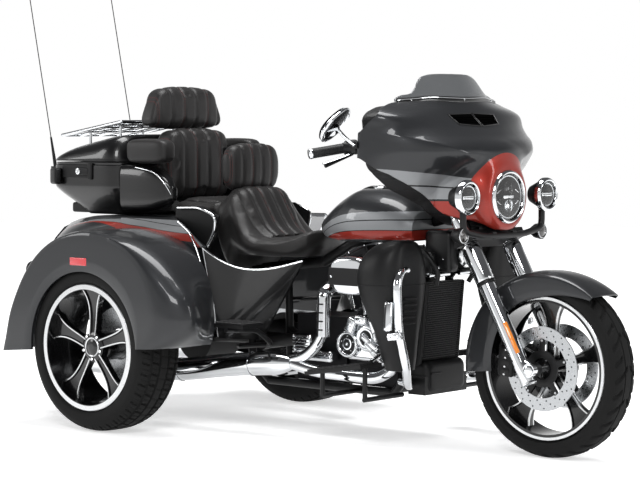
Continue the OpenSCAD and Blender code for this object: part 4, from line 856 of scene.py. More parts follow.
def fairing_grid(inset):
    """Columns crowd towards the nose, where the nacelle is."""
    q = np.linspace(-1, 1, 161)
    a = np.radians(88) * (0.75 * q + 0.25 * q**3)
    v = np.linspace(0, 1, 81)
    return fairing_point(a[:, None] + 0 * v, v[None] + 0 * a[:, None], inset)


G = fairing_grid(0)
mid = (G[:-1, :-1] + G[1:, 1:]) / 2
keep = np.hypot(mid[..., 1], mid[..., 2] - LAMP_Z) > LAMP_HOLE
band_edge = [[0, 975], [131, 984], [153, 988], [198, 997], [256, 1003], [320, 1010], [376, 1017], [414, 1022],
             [430, 1024]]
line_edge = [[0, 945], [150, 950], [203, 955], [248, 959], [298, 961], [335, 963], [430, 968]]


def fairing_band(V):
    """Distance below the grey band's top edge, which is a line across the width; red starts at 910 mm
    and rings the nacelle."""
    p = mm_of(V)
    y = np.abs(p[:, 1])
    return graded(p[:, 2], [curve(band_edge, y), curve(line_edge, y), 910 + 0 * y, 780 + 0 * y])


def nacelle_patch(V):
    """Red cap round the lamp: a half at 158 mm from the lamp's middle, more inside."""
    p = mm_of(V)
    return np.clip(0.5 + (158 - np.hypot(p[:, 1], p[:, 2] - LAMP_Z)) / 100, 0, 1)


fairing_paint = lacquer("charcoal_lacquer_with_fairing_stripes", CHARCOAL, BANDS[:-1], RED)
skin_of = shell(place(G), place(fairing_grid(5)), keep)
piece("moulded_fairing", [skin_of], fairing_paint, "fork", "fairing",
      band=fairing_band(skin_of[0]),
      patch=nacelle_patch(skin_of[0]), sharp=60)

# %% [markdown]
# The dash moulding fills the shell from behind: its front follows the skin 8 mm in, and its back is a
# shallow curve that stands clear of the tank low down.

# %% Dash moulding
a, v = uv(90, 50, (-np.radians(78), np.radians(78)), (0.02, 0.95))
near = fairing_point(a, v, 8)
far = near.copy()
back_x = (1122 + 40 * (near[..., 1] / FAIRING_HALF) ** 2 - 0.12 * (near[..., 2] - 1150)
          + 90 * np.clip((940 - near[..., 2]) / 60, 0, 1))
far[..., 0] = np.minimum(near[..., 0] - 6, back_x)
mid = (near[:-1, :-1] + near[1:, 1:]) / 2
open_at = np.hypot(mid[..., 1], mid[..., 2] - LAMP_Z) > LAMP_HOLE
piece("moulded_dash", [shell(place(near), place(far), open_at)], plastic, "fork", "inner_fairing",
      sharp=50)

# %% [markdown]
# The screen is thin smoked polycarbonate, bent over the fairing's upper rim and held by a dark strip
# with a row of screws.

# %% Screen
SCREEN_TOP = [[0, 1], [0.25, 0.98], [0.45, 0.91], [0.58, 0.76], [0.68, 0.45], [0.76, 0.26], [0.9, 0.2], [1, 0.12]]


def screen(u, v, off):
    """Foot on the rim, rising by the top's outline and leaning back 0.55 mm for each millimetre."""
    foot = fairing_point(np.arcsin(297 * u / FAIRING_HALF), np.ones_like(u), 2)
    top = 102 * curve(SCREEN_TOP, np.abs(u))
    x, y, z = np.moveaxis(foot, -1, 0)
    return np.stack([x - v * top * 0.55 - off, y * (1 - 0.03 * v), z + 0.8 + v * top], -1)


u, v = uv(81, 14, (-1, 1), (0, 1))
pane = shell(place(screen(u, v, 0)), place(screen(u, v, 4)))
piece("smoked_screen", [pane], smoke, "fork", "windscreen", sharp=60)
u = np.linspace(-0.98, 0.98, 60)
foot = screen(u, np.full(60, 0.09), -2)
strip = tube(foot, 11, 12, (1, 0.2, 0.5), 0.35)
bright = tube(foot + [3.4, 0, 4], 1.5, 8, (1, 0, 0.5))
q = np.linspace(-0.8, 0.8, 3)
at = screen(q, np.full(3, 0.09), -5)
piece("screen_trim_strip", [of(strip, 0), of(bright, 1), of(studs(at, (1, 0, 0.5), 4, 3, 12), 1)],
      [black_gloss, chrome], "fork")

# %% [markdown]
# ## Fuel tank
# The tank is a teardrop of pressed steel: its width, top line and bottom line are curves along its
# length, and each section is a superellipse. Its stripes run along the side and dip with the seat.

# %% Fuel tank
TANK_BACK, TANK_LONG, TANK_HALF = 662, 496, 165
TANK_W = [[0, 0.42], [0.1, 0.7], [0.28, 0.9], [0.5, 1], [0.8, 0.98], [0.93, 0.92], [1, 0.82]]
TANK_TOP = [[0, 806], [0.1, 848], [0.25, 905], [0.42, 938], [0.65, 934], [0.85, 908], [1, 862]]
TANK_LOW = [[0, 762], [0.2, 746], [0.5, 740], [0.8, 742], [1, 752]]


def tank_point(t, a):
    """Section angle a runs from -90 to 90 degrees over the top, and on round the flat bottom."""
    w, top, low = TANK_HALF * curve(TANK_W, t), curve(TANK_TOP, t), curve(TANK_LOW, t)
    x = TANK_BACK + TANK_LONG * t
    y = w * spow(np.sin(a), 0.8)
    z = low + 30 + (top - low - 30) * spow(np.maximum(np.cos(a), 0), 0.7)
    return np.stack([x, y, z], -1), np.stack([x, w, low], -1)


t, a = uv(70, 61, (0, 1), (-np.pi / 2, np.pi / 2))
over, low = tank_point(t, a)
b = np.linspace(0, 1, 9)[1:-1]
lx, ly, lz = low[:, 0].T
foot = [np.stack([lx, ly * (1 - 0.16 * k**1.5), lz + 30 * (1 - k) ** 1.6], -1) for k in b]
under = np.stack(foot + [q * [1, -1, 1] for q in foot[::-1]], 1)
P = np.concatenate([over, under], 1)
front, back = P[-1:], P[:1]
c0, c1 = back.mean(1, keepdims=True), front.mean(1, keepdims=True)
ends0 = np.concatenate([c0 + (back - c0) * k for k in (0.03, 0.5, 0.85, 0.97)])
ends1 = np.concatenate([c1 + (front - c1) * k for k in (0.97, 0.85, 0.5, 0.03)])
body = skin(place(np.concatenate([ends0, P, ends1])), False, True, True)


def tank_band(V):
    """Stripe value of the tank: its four lines rise from the seat and run level to the front."""
    p = mm_of(V)
    x = p[:, 0]
    lines = ([[662, 765], [705, 785], [780, 822], [849, 842], [1029, 857], [1158, 860]],
             [[662, 752], [705, 766], [780, 798], [849, 814], [1029, 827], [1158, 830]],
             [[662, 738], [705, 744], [800, 770], [899, 782], [1029, 789], [1158, 791]],
             [[662, 720], [705, 724], [800, 744], [899, 752], [1029, 754], [1158, 756]])
    return graded(p[:, 2], [curve(t, x) for t in lines])


tank_paint = lacquer("charcoal_lacquer_with_tank_stripes", CHARCOAL, BANDS)
piece("pressed_fuel_tank", [body], tank_paint, "chassis", "fuel_tank", band=tank_band(body[0]),
      sharp=60)
x = np.linspace(690, 1120, 40)
ridge = np.stack([x, 0 * x, curve([[TANK_BACK + TANK_LONG * k, z] for k, z in TANK_TOP], x) + 1.5], -1)
console = tube(ridge, 26 * np.sin(np.pi * np.linspace(0.06, 0.94, 40)) ** 0.5, 20, UPRIGHT, 0.28)
cap = turned([(-4, 34), (4, 34), (7, 31), (8, 26), (9, 24), (9, 0.5)], (905, 0, 938), UPRIGHT, 64)
screws = studs(around([905, 0, 947], 28, 0, 6) * [1, 1, 0] + [0, 0, 946], UPRIGHT, 2.5, 2)
piece("tank_console", [of(console, 0), of(cap, 1), of(screws, 1)], [satin, chrome], "chassis")

# %% [markdown]
# ## Seats
# A seat is foam under leather sewn in upright channels. Each cushion starts a little small, is blown up
# as cloth so that it bulges between its edges, and then gets its channels pressed in along the seams.
# The stitches are part of the leather's finish: two rows of dashes beside each seam.

# %% Sewn leather
def pleated(name, pitch, shift):
    """Leather with creases 2.4 mm across, and dashed dark-red thread 3.8 mm to each side of seams that
    lie pitch apart in Y."""
    mat, p = finish(name, "#141313", Roughness=0.5, Specular_IOR_Level=0.3, Sheen_Weight=0.05)
    co = add(mat, "TexCoord").outputs["Object"]
    net = add(mat, "TexVoronoi", {"Vector": co, "Scale": 420.0}, feature="DISTANCE_TO_EDGE")
    pores = add(mat, "TexNoise", {"Vector": co, "Scale": 1500.0, "Detail": 3.0})
    mixed = add(mat, "Math", {0: net.outputs["Distance"], 1: pores.outputs["Fac"]}, operation="ADD")
    bump = add(mat, "Bump", {"Height": mixed.outputs[0], "Strength": 0.25, "Distance": 0.0005})
    link(mat, bump.outputs[0], p, "Normal")
    xyz = add(mat, "SeparateXYZ", {0: co})
    y = add(mat, "Math", {0: xyz.outputs["Y"], 1: shift * MM + 100 * pitch * MM}, operation="ADD")
    cell = add(mat, "Math", {0: y.outputs[0], 1: pitch * MM}, operation="PINGPONG")
    half = add(mat, "Math", {0: cell.outputs[0], 1: 0.0038}, operation="SUBTRACT")
    row = add(mat, "Math", {0: half.outputs[0]}, operation="ABSOLUTE")
    near = add(mat, "Math", {0: row.outputs[0], 1: 0.0009}, operation="LESS_THAN")
    length = add(mat, "Math", {0: xyz.outputs["X"], 1: xyz.outputs["Z"]}, operation="ADD")
    dash = add(mat, "Math", {0: length.outputs[0], 1: 0.0055}, operation="PINGPONG")
    on = add(mat, "Math", {0: dash.outputs[0], 1: 0.0016}, operation="GREATER_THAN")
    both_on = add(mat, "Math", {0: near.outputs[0], 1: on.outputs[0]}, operation="MULTIPLY")
    worn = add(mat, "TexNoise", {"Vector": co, "Scale": 9.0, "Detail": 3.0})
    shade = add(mat, "ValToRGB", {"Fac": worn.outputs["Fac"]})
    shade.color_ramp.elements[0].color, shade.color_ramp.elements[1].color = colour("#0f0e0e"), colour("#171515")
    mix = add(mat, "Mix", {"Factor": both_on.outputs[0]}, data_type="RGBA")
    mat.node_tree.links.new(shade.outputs[0], mix.inputs[6])
    mix.inputs[7].default_value = colour("#3d1715")
    link(mat, mix.outputs[2], p, "Base Color")
    spread(mat, worn.outputs["Fac"], p, "Roughness", 0.4, 0.55)
    return mat


def puffed(ob, cap=14, voxel=6):
    """Blows the mesh up as cloth for 20 frames and keeps each point within cap millimetres of where
    it was."""
    remesh = ob.modifiers.new("even", "REMESH")
    remesh.mode, remesh.voxel_size = "VOXEL", voxel * MM
    apply_all(ob)
    n = len(ob.data.vertices)
    before = np.empty(n * 3)
    ob.data.vertices.foreach_get("co", before)
    cloth = ob.modifiers.new("air", "CLOTH")
    s = cloth.settings
    s.quality, s.mass, s.tension_stiffness, s.compression_stiffness, s.bending_stiffness = 5, 0.4, 18, 18, 6
    s.use_pressure, s.uniform_pressure_force = True, 4
    s.effector_weights.gravity = 0
    cloth.point_cache.frame_start, cloth.point_cache.frame_end = 1, 20
    for f in range(1, 21):
        bpy.context.scene.frame_set(f)
    apply_all(ob)
    after = np.empty(n * 3)
    ob.data.vertices.foreach_get("co", after)
    move = (after - before).reshape(-1, 3)
    far = np.linalg.norm(move, axis=1, keepdims=True)
    kept = before.reshape(-1, 3) + move * np.minimum(1, cap * MM / np.maximum(far, 1e-9))
    ob.data.vertices.foreach_set("co", kept.ravel())
    bpy.context.scene.frame_set(1)
    print(f"{ob.name}: moved {far.mean() / MM:.1f} mm on average, {far.max() / MM:.1f} mm at most")


def apply_all(ob):
    """Bakes the modifiers of an object into its mesh."""
    deps = bpy.context.evaluated_depsgraph_get()
    new = bpy.data.meshes.new_from_object(ob.evaluated_get(deps), depsgraph=deps)
    new.materials.clear()
    for m in ob.data.materials:
        new.materials.append(m)
    ob.modifiers.clear()
    ob.data = new


def press_seams(ob, pitch, shift, depth=7, width=8):
    """Presses channels: every point goes in against its normal by depth exp(-(d/width)^2), where d is
    its distance in Y from the nearest seam."""
    n = len(ob.data.vertices)
    co, no = np.empty(n * 3), np.empty(n * 3)
    ob.data.vertices.foreach_get("co", co)
    ob.data.vertex_normals.foreach_get("vector", no)
    co, no = co.reshape(-1, 3), no.reshape(-1, 3)
    y = co[:, 1] / MM + shift
    d = np.abs(y - pitch * np.round(y / pitch))
    amount = depth * np.exp(-(d / width) ** 2) * (1 - no[:, 1] ** 2)
    ob.data.vertices.foreach_set("co", (co - no * amount[:, None] * MM).ravel())
    ob.data.update()


def cushion(name, shape, body, replaces, pitch, shift=0, depth=7, cap=14):
    """One sewn cushion from a closed shape."""
    mat = pleated("pleated_leather_" + name, pitch, shift)
    ob = piece(name, [shape], mat, body, replaces, sharp=180)
    puffed(ob, cap)
    press_seams(ob, pitch, shift, depth)
    ob.data.polygons.foreach_set("use_smooth", np.ones(len(ob.data.polygons), bool))
    sub = ob.modifiers.new("smooth", "SUBSURF")
    sub.levels = sub.render_levels = 1
    return ob


def pillow(c, h, e=(0.35, 0.45), taper=0, n=40):
    """Superellipsoid with half sizes h: cosines and sines to small powers, so it is a rounded box."""
    a, b = uv(n, n * 2, (-np.pi / 2, np.pi / 2), (0, 2 * np.pi))
    b = b[:, :-1]
    a = a[:, :-1]
    x = spow(np.cos(a), e[0]) * spow(np.cos(b), e[1])
    z = spow(np.cos(a), e[0]) * spow(np.sin(b), e[1])
    y = spow(np.sin(a), e[0]) * (1 - taper * z)
    P = np.asarray(c, float) + np.stack([x * h[0], y * h[1], z * h[2]], -1)
    return skin(place(P), False, True, False)


TOP = [[-55, 868], [0, 872], [150, 868], [200, 884], [238, 916], [286, 908], [330, 842], [384, 768], [450, 738],
       [540, 744], [620, 776], [654, 792]]
LOW = [[-55, 812.5], [196, 812.5], [206, 700], [300, 668], [560, 668], [654, 724]]
WIDE = [[-55, 150], [0, 190], [150, 196], [220, 178], [300, 196], [400, 218], [500, 204], [580, 160], [654, 88]]
x = np.linspace(-51, 650, 90)
w, top, low = curve(WIDE, x) - 3, curve(TOP, x) - 3, curve(LOW, x) + 3
b = np.linspace(0, 2 * np.pi, 56, endpoint=False)
end = np.minimum(1, np.minimum(x + 56, 655 - x) / 26) ** 0.5
Y = w[:, None] * spow(np.cos(b), 0.5)[None] * end[:, None]
Z = ((top + low) / 2)[:, None] + ((top - low) / 2 * end)[:, None] * spow(np.sin(b), 0.55)[None]
seat_shape = skin(place(np.stack([np.repeat(x[:, None], 56, 1), Y, Z], -1)), False, True, True)
cushion("sewn_two_level_seat", seat_shape, "chassis", "seat", 900, 450, 0, 5)


def insert(x0, x1, half, rise):
    """Padded insert that lies on the seat: its underside is the seat's top line at each X, and it
    rises by the product of two rounded profiles, so that it is full in the middle and thin at the edge."""
    u, v = uv(44, 40, (-1, 1), (-1, 1))
    x = (x0 + x1) / 2 + (x1 - x0) / 2 * u
    w = half * (1 - 0.18 * u**2)
    b = np.arcsin(np.clip(np.abs(w * v) / (curve(WIDE, x) - 3), 0, 0.995) ** 2)
    mid_z, amp = (curve(TOP, x) + curve(LOW, x)) / 2, (curve(TOP, x) - curve(LOW, x)) / 2
    z = mid_z + amp * np.cos(b) ** 0.55 - 4
    t = rise * ((1 - u**6) * (1 - v**6)) ** 0.5
    slope = np.gradient(curve(TOP, x[:, 0]), x[:, 0])
    n = unit(np.stack([-slope, 0 * slope, 1 + 0 * slope], -1))[:, None]
    low = np.stack([x, w * v, z], -1)
    return shell(place(low + n * t[..., None]), place(low - n * 6))


CUSHIONS = {"sewn_rider_insert": (insert(222, 452, 150, 18), "chassis", 58, 6),
            "sewn_passenger_insert": (insert(-30, 178, 158, 14), "chassis", 62, 5),
            "sewn_rider_backrest": (pillow((226, 0, 1006), (42, 146, 96), (0.55, 0.72)), "chassis", 54, 5),
            "sewn_passenger_backrest": (pillow((-96, 0, 1016), (57, 174, 140), (0.32, 0.42), 0.05), "chassis", 66,
                                        6),
            "sewn_headrest": (pillow((-158, 0, 1242), (50, 184, 82), (0.36, 0.5), 0.17), "lid", 68, 6)}
for name, (form, body, pitch, depth) in CUSHIONS.items():
    cushion(name, form, body, (), pitch, pitch / 2, depth, 5)
posts = [tube([(222, y, 905), (222, y, 960)], 9, 20, AHEAD) for y in (-40, 40)]
parts = posts + [block((186, 0, 1012), (240, 150, 8), 3, AHEAD)]
piece("rider_backrest_mount", [of(p, 0) for p in parts], [satin], "chassis", "rider_backrest")
piece("passenger_backrest_mount", [block((-176, 0, 945), (240, 130, 56), 8, AHEAD)], satin, "chassis",
      "passenger_backrest")
stays = [tube(bent([(-293, y, 1188), (-232, y, 1214), (-196, y, 1236)], 30), 8, 18, ACROSS) for y in (-60, 60)]
piece("headrest_stays", stays, chrome, "lid", "headrest")

# %% [markdown]
# ## Luggage
# The luggage box is a moulded tub that narrows to its foot, with a domed lid over a rubber seam. A
# latch plate with a round lock sits on its right side, and a chrome rack is bolted on top.

# %% Luggage box and lid
SEAM = 1026.3
BOX0, BOX_H = 812.3, 210


def oval(a, b, n=120, e=0.34):
    """Superellipse with half sizes a and b."""
    q = np.linspace(0, 2 * np.pi, n, endpoint=False)
    return a[..., None] * spow(np.cos(q), e), b[..., None] * spow(np.sin(q), e)


def box_level(z, inset):
    """Plan of the box at height z, drawn in by inset; it narrows over the lower half."""
    t = np.minimum(1, 1.9 * (z - BOX0) / BOX_H)
    t = t * t * (3 - 2 * t) * 0.35 + t * 0.65
    half = 244 + 62 * t - inset
    back, front = -490 - 150 * t + inset, -205 - inset
    x, y = oval((front - back) / 2, half)
    return np.stack([(front + back)[:, None] / 2 + x, y, np.repeat(z[:, None], 120, 1)], -1)


z = np.concatenate([np.linspace(BOX0, SEAM - 16, 30), [SEAM - 13, SEAM - 12, SEAM - 6, SEAM - 4.5]])
step = np.array([3.0] + [0.0] * 28 + [0.5, 4, 4, 3, 3])
top_z = np.array([SEAM - 4.5, SEAM - 60, BOX0 + 12])
rings = np.concatenate([box_level(z, step), box_level(top_z, np.array([8.0, 9, 12]))])
box_shape = skin(place(rings), False, True, True)
piece("moulded_luggage_box", [box_shape], black_gloss, "chassis", "luggage_box", sharp=40)


LID_MID = -420.0


def lid_top(x):
    """Height of the lid's crown: 22 above the seam at the back, and 96 more at the front."""
    return SEAM + 1 + 22 + 96 * np.clip((x + 640) / 435, 0, 1) ** 0.8


def lid_level(f, inset):
    """Plan of the lid at share f of its height: the height grows towards the front, and a quarter
    circle rounds the sides over into the top."""
    s = 1 - np.cos(f * np.pi / 2)
    t = np.sin(f * np.pi / 2)
    half = 308 * (1 - 0.14 * t * t) - inset - 46 * s**2.2
    back = -636 + 60 * t * t + inset + 30 * s**2
    front = -211 - 20 * t - inset - 34 * s**2.4
    x, y = oval((front - back) / 2, half)
    X = (front + back)[:, None] / 2 + x
    return np.stack([X, y, SEAM + 1 + t[:, None] * (lid_top(X) - SEAM - 1) - (inset * t)[:, None]], -1)


f = np.linspace(0, 1, 22)
L = lid_level(f, 0 * f)
tops = [L[-1:] * [k, k, 1] + [LID_MID * (1 - k), 0, 0] for k in (0.8, 0.55, 0.3, 0.04)]
crown = [np.stack([t[..., 0], t[..., 1], lid_top(t[..., 0]) - 3 * k], -1) for t, k in zip(tops, (0.6, 0.3, 0.1, 0))]
lid_shape = skin(place(np.concatenate([L] + crown)), False, True, True)
lip_rings = lid_level(np.array([0.0, 0.0, 0.06, 0.06]), np.array([7.0, -0.8, -0.8, 3.0]))
lip = skin(place(lip_rings), False, True, False)
hinge = [tube([(x - 20, 320, 1020.3), (x + 20, 320, 1020.3)], 9, 18, UPRIGHT) for x in (-520, -330)]
hinge += [block((x, 314, 1030), (36, 18, 7), 2, UPRIGHT) for x in (-520, -330)]
piece("moulded_luggage_lid", [of(lid_shape, 0), of(lip, 1)] + [of(h, 1) for h in hinge], [black_gloss, satin],
      "lid", "luggage_lid", sharp=50)

# %% Luggage fittings
parts = [of(block((-452, -305, 986), (176, 54, 8), 6, RIGHT), 0),
         of(block((-412, -310, 986), (70, 30, 10), 5, RIGHT), 0),
         of(block((-372, -308, 986), (26, 66, 12), 5, RIGHT), 0),
         of(turned([(0, 13), (5, 13), (7, 10), (7, 6), (6, 5), (6, 0.5)], (-436, -314, 986), RIGHT, 32), 1),
         of(block((-580, -308, 964), (78, 66, 30), 9, (-0.45, -0.9, 0)), 0),
         of(block((-448, -214, 836), (210, 40, 60), 8, RIGHT), 0)]
piece("luggage_latch_and_bracket", parts, [plastic, chrome], "chassis")
RACK_BACK, RACK_FRONT, RACK_HALF = -652, -300, 205


def rack_height(x):
    """Middle of the rack's bars, which climb 56 from the back to the front."""
    return 1130 + 56 * (x - RACK_BACK) / (RACK_FRONT - RACK_BACK)


rails = []
for y in (-RACK_HALF, -105, 0, 105, RACK_HALF):
    bar = [(x, y, rack_height(x)) for x in (RACK_BACK, (RACK_BACK + RACK_FRONT) / 2, RACK_FRONT)]
    rails.append(tube(bar, 7.5, 16, ACROSS))
for x in (RACK_BACK, -540, LID_MID, -360, RACK_FRONT):
    y = RACK_HALF if x in (RACK_BACK, LID_MID, RACK_FRONT) else 160
    rails.append(tube([(x, k, rack_height(x)) for k in (-y, 0, y)], 7.6, 16, UPRIGHT))
for x in (-540, -360):
    for y in (-150, 150):
        h = float(lid_top(x))
        rails.append(tube([(x, y, h - 2), (x, y, rack_height(x))], 6, 16, AHEAD))
        rails.append(turned([(0, 15), (3, 15), (5, 9), (5, 0.5)], (x, y, h - 3), UPRIGHT, 24))
ball = [(-7, 0.5), (-6, 4), (-3, 6.4), (0, 7), (3, 6.4), (6, 4), (7, 0.5)]
for y in (-RACK_HALF, -105, 0, 105, RACK_HALF):
    rails += [turned(ball, (x, y, rack_height(x)), AHEAD, 16) for x in (RACK_BACK, RACK_FRONT)]
piece("chrome_luggage_rack", rails, chrome, "lid", "luggage_rack")

# %% [markdown]
# The speaker pods stand at both sides of the passenger. A superellipse tapers forwards along each, and
# a bright line and a padded armrest finish it.

# %% Speaker pods and armrests
s = np.linspace(0, 1, 30)
x = -207 + 255 * s
k = np.maximum(np.sqrt(np.maximum(1 - s**3, 0)), 0.3)
b = np.linspace(0, 2 * np.pi, 48, endpoint=False)
P = np.stack([np.repeat(x[:, None], 48, 1), -248 + 52 * k[:, None] * spow(np.cos(b), 0.5),
              922 + 94 * k[:, None] * spow(np.sin(b), 0.5) - 26 * (1 - k[:, None])], -1)
mid = P[-1].mean(0)
ends = np.stack([mid + (P[-1] - mid) * k + [dx, 0, 0] for k, dx in ((0.9, 3), (0.6, 5), (0.05, 6))])
pod_shape = skin(place(np.concatenate([P, ends])), False, True, True)
line = bent([(-120, -297, 1006), (-20, -294, 990), (24, -276, 944), (44, -262, 900)], 40)
piece("speaker_pod_shells", both([of(pod_shape, 0), of(tube(line, 2.2, 10, UPRIGHT), 1)]), [black_gloss, chrome],
      "chassis", "speaker_pods")
for n, sgn in (("right", -1), ("left", 1)):
    pad = pillow((-84, sgn * 248, 1070), (112, 44, 48), (0.5, 0.45))
    cushion(f"sewn_armrest_{n}", pad, "chassis", (), 200, 100, 0, 6)

# %% [markdown]
# ## Lamps
# The headlamp is a chrome bezel round a dark bowl with two round projectors, one over the other, and
# short bright bars beside them. The passing lamps are smaller, and the turn lamps are black with
# smoked lenses.

# %% Lamps
def lamp_parts(c, r, depth):
    """Bezel, bowl, inner ring, dark back and glass, each a profile turned round X."""
    c = np.asarray(c, float)
    bezel = [(-22, r - 4), (-22, r), (-8, r), (-1, r - 4), (1, r - 8), (-1, r - 12), (-9, r - 15), (-16, r - 15)]
    bowl = [(-depth, 0.5), (-depth, r * 0.5), (-36, r - 12), (-12, r - 13)]
    ring = [(-18, r - 18), (-11, r - 20), (-11, r - 24), (-20, r - 28)]
    back = [(-15, r - 15), (-19, r - 19), (-21, r - 26), (-26, r * 0.5), (-27, 0.5)]
    glass = [(-9, r - 14), (-6.5, r * 0.6), (-4.6, r * 0.4), (-4, 0.5)]
    out = [of(turned(p, c, sides=96), k) for p, k in ((bezel, 0), (bowl, 1), (ring, 0), (back, 1))]
    return out, [of(turned(glass, c, sides=64), 0)]


head, head_glass = lamp_parts((1502, 0, LAMP_Z), 97, 88)
for z in (-30, 30):
    at = (1502, 0, LAMP_Z + z)
    head += [of(turned([(-26, 27), (-12, 27), (-10, 25), (-14, 22), (-22, 20)], at, sides=40), 2),
             of(turned([(-20, 19), (-14, 17), (-10, 10), (-9, 0.5)], at, sides=40), 3 if z > 0 else 2)]
head += [of(block((1486, 0, LAMP_Z), (62, 13, 8), 2, AHEAD), 2)]
head += [of(block((1484, y, LAMP_Z + z), (26, 5, 4), 1.5, AHEAD, turn), 2)
         for y, z, turn in ((-52, 20, 30), (-52, -20, -30), (52, 20, -30), (52, -20, 30))]
piece("headlamp_bezel_and_bowl", head, [chrome, dark_metal, silver, dial_glass], "fork", "headlamp")
piece("headlamp_glass", head_glass, clear, "fork")
PASS_Y, PASS_Z = 236, 921
parts, glasses = [], []
for s in (-1, 1):
    p, g = lamp_parts((1503, s * PASS_Y, PASS_Z), 62, 76)
    parts += p + [of(block((1484, s * PASS_Y, PASS_Z), (60, 16, 12), 3, AHEAD), 2),
                  of(block((1491, s * PASS_Y, PASS_Z), (50, 2.5, 4), 1, AHEAD), 1)]
    glasses += g
    stem = bent([(1470, s * PASS_Y, 868), (1470, s * PASS_Y, 800), (1470, s * 120, 780), (1470, 0, 780)], 30)
    parts += [of(tube(stem, 12, 18, AHEAD), 1), of(block((1467, s * 60, 782), (24, 26, 24), 3), 1)]
    shell_p = [(-50, 0.5), (-48, 15), (-30, 26), (-8, 30), (-2, 30), (0, 27), (-3, 25)]
    turn_at = (1474, s * PASS_Y, 786)
    parts += [of(turned(shell_p, turn_at, sides=48), 1),
              of(turned([(-1, 27), (2, 26), (2, 24), (-2, 23)], turn_at, sides=40), 0),
              of(turned([(-3, 25.5), (2, 18), (4, 0.5)], turn_at, sides=40), 3)]
piece("passing_and_turn_lamps", parts, [chrome, satin, silver, smoke_lens], "fork", "passing_lamps")
piece("passing_lamp_glasses", glasses, clear, "fork")

# %% [markdown]
# The vent above the headlamp has two halves, each a dark patch that lies on the fairing's skin inside a glossy
# frame, with three louvres. The patch is black and sends no light back at all: painted shade that stands for
# the shaded recess behind a real vent, since the patch lies flat on the skin.

# %% Fairing vent
def on_skin(y, z, off):
    """Point of the fairing at a width and height: the plan angle is asin(y / half width)."""
    ref = np.abs(y)
    v = (z - curve(WING_LOW, ref)) / (curve(WING_HIGH, ref) - curve(WING_LOW, ref))
    return fairing_point(np.arcsin(y / FAIRING_HALF), v, 0) + off


def between(c, u, v):
    """Value at (u, v) inside a patch whose corners hold the values c, in order round it."""
    return (c[0] + (c[1] - c[0]) * u) * (1 - v) + (c[3] + (c[2] - c[3]) * u) * v


def round_patch(c, n=12):
    """Values along the patch's outline, n to a side, back to the first corner."""
    return np.concatenate([np.linspace(c[i], c[(i + 1) % 4], n)[:-1] for i in range(4)] + [c[:1]])


# painted shade: pure matt black with no specular stands for the shade inside the vent
vent_painted_shade, p = finish("black_vent_painted_shade", "#050505", Roughness=0.95, Specular_IOR_Level=0.0)
grain(vent_painted_shade, p, 900.0, 0.2, 0.0003)
vent, frames = [], []
for s in (-1, 1):
    corner = [(s * 4, 1216), (s * 134, 1212), (s * 118, 1178), (s * 4, 1170)]
    y, z = np.array(corner, float).T
    frames.append(tube(on_skin(round_patch(y), round_patch(z), [1, 0, 1]), 2.4, 10, (0.8, 0, 0.6)))
    uu, vv = uv(24, 12)
    yy, zz = between(y, uu, vv), between(z, uu, vv)
    vent.append(shell(place(on_skin(yy, zz, [1.2, 0, 1.2])), place(on_skin(yy, zz, [-1, 0, -1]))))
    run = np.linspace(0.05, 0.92, 10)
    for q in (0.3, 0.5, 0.7):
        louvre = on_skin(between(y, run, q), between(z, run, q), [3, 0, 3])
        vent.append(tube(louvre, 2.6, 8, (0.8, 0, 0.6), 0.6))
piece("fairing_vent", [of(v, 0) for v in vent] + [of(f, 1) for f in frames], [vent_painted_shade, black_gloss],
      "fork")

# %% [markdown]
# The tail lamps are round, with a domed red lens in a dark cup on a short stalk from the fender.

# %% Tail lamps
TAIL = (-437, -560, 600)
parts = both([of(turned([(0, 32), (6, 30), (10, 24), (12, 0.5)], TAIL, (-1, 0, 0), 48), 0),
              of(turned([(-46, 0.5), (-44, 26), (0, 33), (4, 33), (5, 30)], TAIL, (-1, 0, 0), 48), 1),
              of(tube([(-391, -560, 600), (-356, -560, 600)], 14, 16, UPRIGHT), 1)])
piece("tail_lamp_lenses", parts, [red_lens, satin], "chassis", "tail_lamps")

# %% [markdown]
# ## Front fork
# Chrome sliders carry the wheel; black covers with a chrome cuff slide over the upper tubes. Amber
# reflectors are clipped to the sliders.

# %% Fork covers and reflectors
TILT = np.radians(29.25)
leg = np.array([-np.sin(TILT), 0, np.cos(TILT)])
parts, amber_parts = [], []
for s in (-1, 1):
    foot = np.array([1652, s * 122, F0[2]])
    cover = [(340, 30.5), (344, 33.5), (352, 34.5), (470, 34.5), (482, 33), (490, 29), (492, 24)]
    cuff = [(330, 29.5), (332, 34), (342, 35.2), (346, 33)]
    upper = [(492, 25), (500, 29.5), (590, 29.5), (600, 27), (604, 24.5)]
    parts += [of(turned(cover, foot, leg, 48), 1), of(turned(cuff, foot, leg, 48), 0),
              of(turned(upper, foot, leg, 48), 1),
              of(turned([(-59, 0.5), (-60, 14), (-56, 27), (-50, 29.2), (20, 29.2)], foot, leg, 40), 1),
              of(turned([(0, 20), (4, 20), (6, 17), (6, 0.5)], (WHEELBASE, s * 147, F0[2]), (0, s, 0), 6), 1)]
    amber_parts.append(of(block((1613, s * 143, 430), (16, 9, 120), 3, leg, 45 * s), 0))
piece("fork_covers", parts, [satin, chrome], "fork")
piece("fork_reflectors", amber_parts, amber, "fork")

# %% [markdown]
# ## Handlebar and mirrors
# Ribbed grips end in chrome caps; the switch boxes carry buttons, and chrome mirror shells hold a
# silvered glass each.

